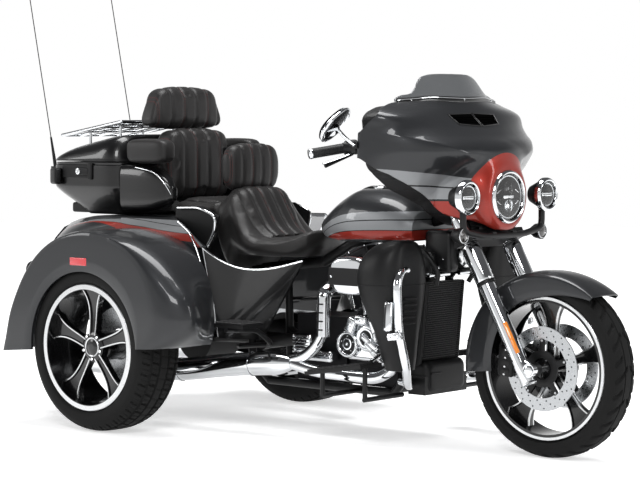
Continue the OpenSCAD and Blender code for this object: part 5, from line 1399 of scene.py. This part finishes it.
# %% Controls
parts = []
for s in (-1, 1):
    a, b = np.array([1004, s * 330, 1092.0]), np.array([930, s * 438, 1071.0])
    d = unit(b - a)
    L = np.linalg.norm(b - a)
    x = np.linspace(6, L - 6, 90)
    prof = np.stack([x, 17.4 + 1.3 * (np.sin(x * 2 * np.pi / 6) > 0.2)], -1)
    parts += [of(turned(prof, a, d, 28), 0),
              of(turned([(L - 7, 19), (L - 1, 19.5), (L + 4, 17), (L + 6, 10), (L + 6, 0.5)], a, d, 28), 1),
              of(turned([(-2, 14), (0, 20), (6, 20.5), (7, 17)], a, d, 28), 1)]
    box = a - d * 24
    parts += [of(block(box, (46, 50, 46), 9, d), 2), of(block(box + [-20, 0, 12], (22, 12, 8), 2, (-1, 0, 0.3)), 3),
              of(block(box + [-20, s * -2, -4], (26, 9, 8), 2, (-1, 0, 0.3)), 3)]
    lever = bent([(1034, s * 318, 1078), (1026, s * 360, 1062), (1004, s * 425, 1042), (996, s * 440, 1036)], 20)
    parts += [of(tube(lever, 7.5, 14, UPRIGHT, 0.55), 1), of(block((1040, s * 300, 1090), (50, 34, 26), 8), 2)]
piece("grips_levers_and_switches", parts, [grip_rubber, chrome, satin, plastic], "fork")

# %% [markdown]
# A mirror is a superellipse dome with a silvered glass let into its open side, turned about two axes to
# face the rider. The right one is made, and the left one is its mirror image.

# %% Mirrors
a, b = np.radians(29), np.radians(-64)
Rx = np.array([[1, 0, 0], [0, np.cos(a), -np.sin(a)], [0, np.sin(a), np.cos(a)]])
Ry = np.array([[np.cos(b), 0, np.sin(b)], [0, 1, 0], [-np.sin(b), 0, np.cos(b)]])
M = Rx @ Ry
MIRROR, MIRROR_A, MIRROR_B = np.array([1080, -470, 1176.0]), 46, 90
lat = np.radians(np.linspace(-86, 86, 22))
q = np.linspace(0, 2 * np.pi, 72, endpoint=False)


def mirror_rings(k, depth):
    """Superellipse rings at shares k of the full size, each at a depth along the mirror's own axis."""
    k = k[:, None]
    x, y = MIRROR_A * k * spow(np.cos(q), 0.8), MIRROR_B * k * spow(np.sin(q), 0.8)
    return place(MIRROR + np.stack([x, y, depth[:, None] + 0 * q], -1) @ M.T)


g = np.linspace(0.02, 0.93, 8)
back = skin(mirror_rings(spow(np.cos(lat), 0.6), 13 * np.sin(lat)), False, True, True)
glass = skin(mirror_rings(g, 14 - 2.4 * g**4), False, True)
stem = bent([(1140, -436, 1104), (1112, -452, 1128), (1082, -468, 1166)], 20)
parts = both([of(back, 0), of(glass, 1), of(tube(stem, 6.5, 16, AHEAD), 0),
              of(block((1141, -434.5, 1104), (20, 24, 8), 3, RIGHT), 2)])
piece("mirror_shells", parts, [chrome, silver, satin], "fork", "mirrors")

# %% [markdown]
# The dash is seen from the saddle: two round dials with chrome rings, and a dark flat screen between
# them. Their axis leans back, so that they face the rider.

# %% Dash
FACING = (-0.94, 0, 0.34)
parts = []
for y in (-150, 150):
    parts += [of(turned([(0, 40), (5, 40), (7, 37), (4, 34)], (1128, y, 1150), FACING, 48), 1),
              of(turned([(3, 35), (3.5, 20), (4, 0.5)], (1128, y, 1150), FACING, 48), 0)]
parts += [of(block((1128, 0, 1118), (170, 96, 10), 5, FACING), 2),
          of(block((1123, 0, 1120), (150, 78, 4), 1.5, FACING), 0)]
piece("dash_dials_and_screen", parts, [dial_glass, chrome, plastic], "fork")

# %% [markdown]
# ## Engine and pipes
# A V-twin with black finned barrels and chrome covers. Pushrod tubes climb each cylinder, and the rocker
# covers carry a dark-red rib.

# %% Engine
ENGINE_X = 965
C = np.array([ENGINE_X, 0, 390.0])
parts = []
for s in (-1, 1):
    t = np.radians(22.5 * s)
    up = np.array([np.sin(t), 0, np.cos(t)])
    side = np.array([np.cos(t), 0, -np.sin(t)])
    for o in (-9, 12):
        base = C + up * 84 + [0, -124, 0] + side * (o * 2.2 - s * 20)
        end = C + up * 306 + [0, -84, 0] + side * (o - s * 6)
        parts.append(of(tube([base, (base + end) / 2, end], 8, 18, ACROSS), 0))
        parts.append(of(turned([(0, 12), (10, 12), (13, 9)], base, unit(end - base), 24), 0))
        parts.append(of(turned([(-16, 9), (-12, 12), (0, 12)], end, unit(end - base), 24), 0))
    cover = C + up * 322
    parts += [of(block(cover, (128, 172, 34), 10, up), 1),
              of(block(cover + up * 14 + [0, -60, 0], (90, 30, 10), 4, up), 2)]
    heads = np.array([cover + up * 17 + side * a + [0, b, 0] for a in (-50, 50) for b in (-72, 0, 72)])
    parts.append(of(studs(heads, up, 5, 5), 0))
    # thin edges of the cooling fins, bared by the cutter
    for k in range(-7, 7):
        ring = [(174 + 13 * k, 80.2), (174.5 + 13 * k, 81), (176.5 + 13 * k, 81), (177 + 13 * k, 80.2)]
        parts.append(of(turned(ring, C, up, 72), 3))
piece("pushrods_and_rocker_covers", parts, [chrome, dark_metal, red_enamel, machined], "chassis")

# %% [markdown]
# The cam cover is a stack of turned discs and rounded castings on the engine's right side. The lowest
# front one is an open ring with a filter in it. All of them are chrome over cast aluminium.

# %% Cam cover
parts = []
c = np.array([ENGINE_X - 6, -100, 386.0])
disc_prof = [(0, 88), (22, 88), (31, 84), (34, 76), (34, 56), (44, 52), (54, 50), (60, 46), (61, 40), (59, 37),
             (59, 0.5)]
c2 = np.array([ENGINE_X + 60, -100, 420.0])
filter_at = (869, -150, 359)
rings = [(disc_prof, c, 72, 0), ([(59, 36), (62, 35), (62, 30), (59.5, 28)], c, 64, 0),
         ([(59.2, 28), (60, 27), (60, 0.5)], c, 64, 1),
         ([(0, 67), (20, 67), (26, 63), (27, 56), (25, 40), (25, 0.5)], c2, 64, 0),
         ([(-50, 52), (8, 52), (14, 49), (16, 45), (14, 39), (10, 37)], filter_at, 64, 0),
         ([(9, 38), (7, 30), (8, 22)], filter_at, 48, 1), ([(7, 23), (12, 22), (12, 17), (9, 16)], filter_at, 48,
                                                           0),
         ([(9, 16), (10, 10), (10, 0.5)], filter_at, 48, 1)]
parts += [of(turned(profile, at, RIGHT, n), k) for profile, at, n, k in rings]
heads = [(around(c, 80, -31, 9, 10), 4.5, 5, 0), (around(c, 44, -59, 4, 45), 3.5, 4, 1),
         ([[869, -160, 359]], 7, 6, 0), (around(filter_at, 30, -8, 5, 18), 3, 3, 0)]
parts += [of(studs(at, RIGHT, r, h), k) for at, r, h, k in heads]
parts += [of(block((948, -128, 372), (204, 150, 36), 30, RIGHT, n=8), 0)]
castings = [(893, 430, 44, 58, -22), (1010, 440, 50, 64, 22), (940, 452, 60, 34, 0), (985, 372, 96, 26, -35),
            (1000, 342, 96, 22, -35), (1022, 318, 84, 18, -35)]
for x, z, w, h, turn in castings:
    parts += [of(block((x, -152, z), (w, h, 46), 8, RIGHT, turn), 0), of(studs([[x, -176, z]], RIGHT, 5, 4), 0)]
piece("cam_cover_castings", parts, [chrome, satin], "chassis", "cam_cover", sharp=50)

# %% [markdown]
# The primary cover closes the drive on the left side: two turned domes joined by a rounded casting. The
# gearbox's side cover, with ribs and bolts, is on the right side behind the header pipe.

# %% Primary and gearbox covers
parts = []
for cx, cz, r in ((ENGINE_X, 380, 113), (660, 360, 101)):
    dome = [(0, r), (60, r), (72, r - 6), (78, r - 18), (78, r * 0.5), (74, r * 0.46), (74, 0.5)]
    parts.append(of(turned(dome, (cx, 100, cz), ACROSS, 80), 0))
    parts.append(of(studs(around([cx, 100, cz], r - 9, 76, 8, 20), ACROSS, 4.5, 5), 0))
parts.append(of(block((812, 136, 366), (300, 186, 72), 14, ACROSS), 0))
parts += [of(block((636, -128, 344), (92, 72, 60), 16, RIGHT, n=6), 0),
          of(block((700, -120, 300), (150, 44, 50), 14, RIGHT, n=6), 0)]
parts += [of(block((636, -160, 326 + 12 * k), (78, 4, 6), 1.8, RIGHT), 0) for k in range(4)]
parts += [of(studs([[600, -158, 372], [672, -158, 372], [600, -158, 314], [672, -158, 314]], RIGHT, 5, 5), 0)]
piece("primary_cover_casting", parts, [chrome], "chassis", "primary_cover", sharp=50)

# %% [markdown]
# The air cleaner is a pressed chrome cover with straight sides and round ends. Its rings shrink with
# depth, and a bare black band lies across its face.

# %% Air cleaner
q = np.linspace(0, 2 * np.pi, 96, endpoint=False)


CLEANER_X = 1007


def stadium(r, half, d):
    """Ring at depth d: a circle of radius r stretched along X by half on each side of the middle."""
    x = CLEANER_X + np.clip(np.cos(q) * 3, -1, 1) * half + r * np.cos(q)
    return np.stack([x, np.full(96, -218.0 - d), 628 + r * np.sin(q)], -1)


levels = [(0, 62), (3, 69), (84, 70), (96, 68), (102, 63), (104, 56), (105.5, 40), (106, 20), (106, 2)]
parts = [of(skin(place(np.stack([stadium(r, 27, d) for d, r in levels])), False, True), 0),
         of(block((CLEANER_X, -324, 624.5), (172, 64, 8), 4, RIGHT), 1),
         of(tube([(975, -150, 600), (975, -185, 600), (975, -220, 600)], 30, 32, UPRIGHT), 2),
         of(studs([[CLEANER_X - 70, -328, 624], [CLEANER_X + 70, -328, 624]], RIGHT, 5, 4), 0)]
piece("air_cleaner_cover", parts, [chrome, wrinkle, satin], "chassis", "air_cleaner", sharp=50)

# %% [markdown]
# Chrome header pipes run down from both cylinders into one muffler on the right; a crossover feeds the
# one on the left. Slotted shields cover the hot upper pipes, and straps hold the mufflers.

# %% Exhaust
def resampled(path, n):
    """Path as n points evenly spaced along its length, and the length of it up to each point."""
    L = np.concatenate([[0], np.cumsum(np.linalg.norm(np.diff(path, axis=0), axis=1))])
    s = np.linspace(0, L[-1], n)
    return np.stack([np.interp(s, L, path[:, k]) for k in range(3)], -1), s


UP = (0, 0.6, 0.8)
REAR_PIPE = [(806, -100, 556), (808, -180, 572), (812, -226, 548), (812, -232, 388), (752, -250, 312),
             (650, -268, 286)]
FRONT_PIPE = [(1078, -84.5, 640), (1090, -128, 634), (1112, -158, 590), (1122, -164, 470), (1112, -168, 290),
              (1050, -196, 244), (800, -250, 256), (690, -266, 280)]
MUFFLER = [(690, -266, 282), (420, -292, 262), (120, -312, 216), (-545, -312, 216)]
parts = [of(tube(bent(REAR_PIPE, 50, 8), 21, 28, UP), 0), of(tube(bent(FRONT_PIPE, 60, 8), 21, 28, UP), 0)]
can, s = resampled(bent(MUFFLER, 120, 10), 60)
rad = curve([[0, 23], [30, 34], [80, 44], [s[-1] - 60, 44], [s[-1] - 30, 43], [s[-1], 40]], s)
parts += [of(tube(can, rad, 40, UP), 0), of(flipped(tube(can[6:], rad[6:], 40, UP)), 0),
          of(tube(bent([(520, -282, 262), (520, -150, 232), (520, 150, 232), (520, 282, 262)], 60), 21, 24, AHEAD),
             0)]
tip = [(0, 38), (0, 44), (3, 46), (40, 46), (44, 44), (44, 36), (30, 33), (20, 33)]
parts += both([of(turned(tip, (-530, -312, 216), (-1, 0, 0), 48), 1),
               of(turned([(0, 34), (-3, 0.5)], (-536, -312, 216), (-1, 0, 0), 40), 1)])
for path, n in ((FRONT_PIPE[2:5], 9), (REAR_PIPE[1:4], 5)):
    shield = resampled(bent(path, 50, 8), 40)[0]
    parts.append(of(tube(shield, 25.5, 32, UP), 0))
    parts += [of(block(at + [4, -23.5, 0], (26, 6, 8), 2.5, RIGHT), 1) for at in shield[4:-4:32 // n]]
band = [(-6, 45), (-6, 46.5), (6, 46.5), (6, 45)]
parts += both([of(turned(band, can[k], unit(can[k + 1] - can[k - 1]), 40), 0) for k in (9, 26, 52)])
piece("exhaust_and_mufflers", parts, [chrome, satin], "chassis", "exhaust", sharp=50)

# %% [markdown]
# ## Guard, leg shields and cooler
# A bent chrome tube guards the engine and the rider's legs. A satin-black pod hangs on each side of it,
# with a seam round its upper part and a row of slots that face forward.

# %% Guard and shields
GUARD = [(1181, -106.5, 640), (1182, -130, 640), (1246, -200, 648), (1276, -340, 664), (1290, -382, 622),
         (1292, -376, 450), (1284, -320, 310), (1232, -250, 238), (1190, -170, 232), (1116, -143, 236)]
parts = [of(tube(bent(GUARD, 60, 9), 16, 28, (1, 0, 0.1)), 0)]
parts += [of(turned([(-9, 17), (-9, 21), (9, 21), (9, 17)], (1290, -374, 431), UPRIGHT, 32), 0),
          of(block((1290, -392, 431), (60, 26, 20), 4, RIGHT, 8), 0),
          of(studs([[1272, -406, 431], [1308, -404, 431]], RIGHT, 6, 5), 0),
          of(turned([(-54, 0.5), (-54, 12), (-50, 16), (46, 16), (50, 13), (51, 0.5)], (1266, -400, 503),
                    (0.06, 0, 1), 28), 0),
          of(tube([(1262, -414, 462), (1264, -414, 503), (1268, -414, 545)], 4, 12, ACROSS), 1)]
piece("chrome_engine_guard", both(parts), [chrome, grip_rubber], "chassis", "engine_guard")
PLAN = np.array([[1108, -380], [1140, -402], [1200, -410], [1258, -392], [1284, -340], [1284, -250], [1262, -186],
                 [1232, -176], [1196, -200], [1180, -280], [1156, -340]], float)
SIZE = [[300, 0.42], [340, 0.5], [420, 0.62], [500, 0.8], [560, 0.93], [620, 1], [670, 0.97], [710, 0.86],
        [740, 0.68], [757, 0.48], [763, 0.3]]
q = np.linspace(0, 11, 89)[:-1]
wrap = np.concatenate([PLAN[-1:], PLAN, PLAN[:2]])
round_plan = np.stack([curve(np.stack([np.arange(-1, 13), wrap[:, k]], -1), q) for k in (0, 1)], -1)
SHIELD_X, SHIELD_Y = 1262, -290


def pod_rings(z):
    """Plan of the shield at heights z, scaled about its middle by the size curve."""
    k = curve(SIZE, z)[:, None]
    return np.stack([SHIELD_X + (round_plan[:, 0] - SHIELD_X) * k, SHIELD_Y + (round_plan[:, 1] - SHIELD_Y) * k,
                     np.repeat(z[:, None], 88, 1)], -1)


P = pod_rings(np.linspace(300, 762, 60))
cl, ch = P[0].mean(0), P[-1].mean(0)
foot = [cl + (P[:1] - cl) * f - [0, 0, 2] for f in (0.1, 0.8)]
head = [ch + (P[-1:] - ch) * f + [0, 0, 3] for f in (0.8, 0.1)]
P = np.concatenate(foot + [P] + head)
pod = skin(place(P), False, True, True)


def pod_ring(z0, grow):
    """The shield's own outline at one height, grown a little, for a seam strip."""
    ring = pod_rings(np.array([float(z0)]))[0]
    mid = ring.mean(0)
    ring = mid + (ring - mid) * grow
    return np.concatenate([ring, ring[:1]])


shield_black, p = finish("satin_black_moulded_shield", "#0c0c0d", Roughness=0.45, Specular_IOR_Level=0.2)
grain(shield_black, p, 700.0, 0.08, 0.0003)
seam = pod_ring(607, 1.004)
slots = [of(block((1286 - 2 * k2, -300, 560 - 22 * k2), (70, 9, 8), 3, (1, 0, 0.05)), 1) for k2 in range(5)]
piece("moulded_leg_shields", both([of(pod, 0), of(tube(seam, 1.4, 8, UPRIGHT), 1)] + slots),
      [shield_black, plastic],
      "chassis", "leg_shields", sharp=60)

# %% [markdown]
# The oil cooler sits between the frame's down tubes and leans with them. Its fins are thin rounded
# plates at 8 mm, with a tank along each side and a moulded box under it.

# %% Oil cooler
def cooler_x(z):
    """Front face of the down tubes at height z, which is where the cooler's middle stands."""
    return 1116 + (1150 - 1116) * (z - 250) / (612 - 250) + 28


z = np.linspace(300, 596, 38)
parts = []
for zz in z:
    parts.append(of(block((cooler_x(zz) + 29, 0, zz), (204, 2.2, 14), 0.8), 0))
x0, x1 = cooler_x(292) + 14, cooler_x(602) + 14
for s in (-1, 1):
    side_tank = [(x0 + 6, s * 108, 294), ((x0 + x1) / 2 + 6, s * 108, 447), (x1 + 6, s * 108, 600)]
    parts.append(of(tube(side_tank, 15, 16, ACROSS, 0.6), 1))
parts += [of(block((1172, 0, 252), (236, 122, 92), 26, AHEAD, n=8), 2),
          of(block((1219, -66, 268), (60, 6, 4), 1.5, AHEAD), 1)]
piece("oil_cooler_fins", parts, [satin, plastic, shield_black], "chassis")

# %% [markdown]
# Behind the fork sit the neck covers, hoses, a bright crossbar and a round horn. They are small and dark,
# and they fill the space that would look empty between the fork and the tank.

# %% Neck covers and horn
parts = []
for s in (-1, 1):
    hose = bent([(1150, s * 118, 742), (1226, s * 126, 700), (1262, s * 108, 640), (1240, s * 96, 596)], 24)
    parts += [of(block((1236, s * 58, 716), (60, 150, 120), 16, AHEAD), 0),
              of(block((1196, s * 96, 668), (40, 90, 80), 12, AHEAD), 0), of(tube(hose, 9, 14, ACROSS), 0),
              of(tube([(1246, s * 30, 632), (1246, s * 90, 632), (1246, s * 150, 632)], 8, 16, UPRIGHT), 1),
              of(studs([[1262, s * 60, 660], [1262, s * 110, 660], [1262, s * 84, 690]], AHEAD, 6, 5), 1)]
horn = [(0, 40), (10, 44), (16, 42), (18, 34), (12, 26), (12, 8), (18, 6), (18, 0.5)]
parts.append(of(turned(horn, (1296, 0, 700), AHEAD, 48), 1))
piece("neck_covers_and_horn", parts, [satin, chrome], "chassis")

# %% [markdown]
# The side covers under the seat are bulged panels between four corners. Bright beads run along their
# top and rear edges, and one more follows the front edge of the body.

# %% Side covers and trims
def cover_point(u, v, off):
    """Bilinear between four corners, bulged outwards and dipped along its top edge."""
    back = np.array([437, -404, 372.0]) * (1 - v)[..., None] + np.array([352, -404, 716.0]) * v[..., None]
    front = np.array([470, -196, 352.0]) * (1 - v)[..., None] + np.array([648, -150, 664.0]) * v[..., None]
    x = back[..., 0] + (front[..., 0] - back[..., 0]) * u**1.15
    y = back[..., 1] + (front[..., 1] - back[..., 1]) * u - 24 * np.sin(np.pi * u) + off
    z = back[..., 2] + (front[..., 2] - back[..., 2]) * u - 58 * np.sin(np.pi * u) * v
    return np.stack([x, y, z], -1)


u, v = uv(50, 40)
side = shell(place(cover_point(u, v, 0)), place(cover_point(u, v, 4)))
k = np.linspace(0.01, 0.99, 50)
one = np.ones(50)
top_line = cover_point(k, one * 0.985, -2)
rear_line = cover_point(one * 0.012, k, -2)
strut = tube(bent([(333, -126, 480), (333, -170, 480), (446, -339, 480)], 20), 9, 14, UPRIGHT)
piece("side_cover_panels",
      both([of(side, 0), of(tube(top_line, 3.6, 10, (0, 0.3, 1)), 1), of(tube(rear_line, 3.2, 10, ACROSS), 1),
            of(strut, 0)]),
      [black_gloss, chrome], "chassis", "side_covers", sharp=60)
edge = bent([(x, -430.5, z) for x, z in ((246, 806), (313, 764), (343, 716), (413, 560), (439, 501), (448, 420))],
            30, 8)
rail = bent([(96, -276, 850), (215, -278, 854), (300, -277, 822), (292, -274, 764), (252, -272, 706)], 34, 8)
piece("chrome_edge_trims", both([tube(edge, 3.2, 10, ACROSS), tube(rail, 6, 16, ACROSS)]), chrome, "chassis")

# %% [markdown]
# The rider's and the passenger's footboards carry ribbed rubber pads, and a lever works the rear brake.

# %% Footboard pads
parts = []
slope = np.radians(9)
d = np.array([np.cos(slope), 0, np.sin(slope)])
n = np.array([-np.sin(slope), 0, np.cos(slope)])
for s in (-1, 1):
    c = np.array([1012, s * 350, 292.0])
    parts += [of(block(c + n * 9, (256, 108, 8), 3, n), 0)]
    for k in np.linspace(-110, 110, 9):
        parts.append(of(block(c + n * 13.5 + d * k, (9, 92, 4), 1.5, n), 0))
    c = np.array([553, s * 414, 435.0])
    parts += [of(block(c + [0, 0, 2], (142, 108, 6), 3, UPRIGHT), 0)]
    for k in np.linspace(-58, 58, 6):
        parts.append(of(block(c + [k, 0, 6], (8, 92, 4), 1.5, UPRIGHT), 0))
    pedal = bent([(1146, s * 350, 330), (1150, s * 300, 352), (1150, s * 258, 356)], 20)
    parts.append(of(tube(pedal, 7, 14, UPRIGHT), 1))
    parts.append(of(block((1152, s * 262, 358), (60, 40, 10), 4, UPRIGHT), 0))
piece("footboard_pads_and_pedals", parts, [grip_rubber, chrome], "chassis")

# %% [markdown]
# ## CAD nodes that stay
# The frame, the castings and the axle keep their exact CAD shape and take a worked finish each.

# %% Finishes for the CAD
KEPT = {"frame": satin, "crankcase": dark_metal, "cylinders": wrinkle, "oil_cooler": satin, "footboards": satin,
        "seat_base": satin, "axle_housing": wrinkle, "swingarm": satin, "aerials": plastic, "trunk_door": paint,
        "yokes": satin, "fork_legs": chrome, "handlebar": satin}
for node, mat in KEPT.items():
    ob = frame["nodes"][node]
    ob.data.materials.clear()
    ob.data.materials.append(mat)
print(len(KEPT), "CAD nodes shown")

# %% [markdown]
# ## Studio
# A plain pale floor catches a soft shadow, one large key light stands to the front right, and a fill and
# a top light keep the dark lacquer readable. Chrome needs something to mirror, so the lights are wide.

# %% Floor, lights and camera
gx, gy = uv(60, 60, (-14, 14), (-14, 14))
floor_mesh = bpy.data.meshes.new("studio_floor")
fv, ff = skin(np.stack([gx, gy, 0 * gx], -1))
floor_mesh.from_pydata(fv.tolist(), [], ff)
floor = bpy.data.objects.new("studio_floor", floor_mesh)
bpy.context.scene.collection.objects.link(floor)


def backdrop_rays(tree):
    """1 for rays that come from the camera, from metal or through glass; 0 for soft light."""
    rays = tree.nodes.new("ShaderNodeLightPath")
    total = rays.outputs["Is Camera Ray"]
    for name in ("Is Glossy Ray", "Is Transmission Ray"):
        m = tree.nodes.new("ShaderNodeMath")
        m.operation = "MAXIMUM"
        tree.links.new(total, m.inputs[0])
        tree.links.new(rays.outputs[name], m.inputs[1])
        total = m.outputs[0]
    return total


floor_mat, p = finish("matt_white_studio_vinyl", "#f4f4f4", Roughness=0.85, Specular_IOR_Level=0.1)
grain(floor_mat, p, 40.0, 0.02, 0.0005)
# seen directly, the vinyl is lifted towards white and keeps a part of its shadow; further out than
# 2 m it glows a little more, so that it runs into the white backdrop without an edge
seen = backdrop_rays(floor_mat.node_tree)
reach = add(floor_mat, "VectorMath", {0: add(floor_mat, "TexCoord").outputs["Object"]}, operation="LENGTH")
lift = add(floor_mat, "MapRange", {"Value": reach.outputs["Value"], "From Min": 2.0, "From Max": 4.5,
                                   "To Min": 0.56, "To Max": 1.0})
to_white = add(floor_mat, "Emission", {"Color": (1, 1, 1, 1), "Strength": lift.outputs[0]})
both_mix = add(floor_mat, "AddShader", {0: p.outputs[0], 1: to_white.outputs[0]})
pick = add(floor_mat, "MixShader", {"Fac": seen, 1: p.outputs[0], 2: both_mix.outputs[0]})
floor_mat.node_tree.links.new(pick.outputs[0], floor_mat.node_tree.nodes["Material Output"].inputs["Surface"])
floor_mesh.materials.append(floor_mat)


def area(name, place_m, aim, size, power):
    """Rectangular soft light at a place, aimed at a point."""
    data = bpy.data.lights.new(name, "AREA")
    data.shape, data.size, data.size_y, data.energy = "RECTANGLE", size[0], size[1], power
    ob = bpy.data.objects.new(name, data)
    ob.location = place_m
    ob.rotation_euler = (Vector(aim) - Vector(place_m)).to_track_quat("-Z", "Y").to_euler()
    bpy.context.scene.collection.objects.link(ob)


area("key_softbox", (3.5, -5.0, 4.5), (0, 0, 0.6), (2.4, 1.6), 210)
area("side_softbox", (-4.5, -4.0, 3.0), (0, 0, 0.6), (1.6, 2.4), 90)
area("front_strip", (6.5, 1.5, 2.6), (0.6, 0, 0.7), (0.8, 3), 90)
area("top_softbox", (0, 0, 5.0), (0, 0, 0), (4, 1.8), 300)
world = bpy.data.worlds.new("studio_backdrop")
world.use_nodes = True
nt = world.node_tree
bg = nt.nodes["Background"]
bg.inputs["Color"].default_value = (0.62, 0.63, 0.65, 1)
bg.inputs["Strength"].default_value = 0.3
white = nt.nodes.new("ShaderNodeBackground")
white.inputs["Strength"].default_value = 1.0
# white round the horizon and darker overhead, so that chrome has something dark to mirror
sky = nt.nodes.new("ShaderNodeSeparateXYZ")
nt.links.new(nt.nodes.new("ShaderNodeTexCoord").outputs["Generated"], sky.inputs[0])
fade = nt.nodes.new("ShaderNodeValToRGB")
for e, at, c in ((0, 0.2, (1, 1, 1, 1)), (1, 0.5, (0.12, 0.12, 0.125, 1))):
    fade.color_ramp.elements[e].position, fade.color_ramp.elements[e].color = at, c
nt.links.new(sky.outputs["Z"], fade.inputs["Fac"])
nt.links.new(fade.outputs[0], white.inputs["Color"])
mixer = nt.nodes.new("ShaderNodeMixShader")
nt.links.new(backdrop_rays(nt), mixer.inputs["Fac"])
nt.links.new(bg.outputs[0], mixer.inputs[1])
nt.links.new(white.outputs[0], mixer.inputs[2])
nt.links.new(mixer.outputs[0], nt.nodes["World Output"].inputs["Surface"])
bpy.context.scene.world = world
bpy.context.scene.view_settings.view_transform = "Standard"

cam = bpy.data.cameras.new("camera")
cam.lens, cam.sensor_width = 122.56, 36
camera = bpy.data.objects.new("camera", cam)
camera.location = (5.569839, -6.3055, 1.1899)
camera.rotation_euler = (np.radians(90 - 3.1296), 0, np.radians(41.338))
bpy.context.scene.collection.objects.link(camera)
bpy.context.scene.camera = camera
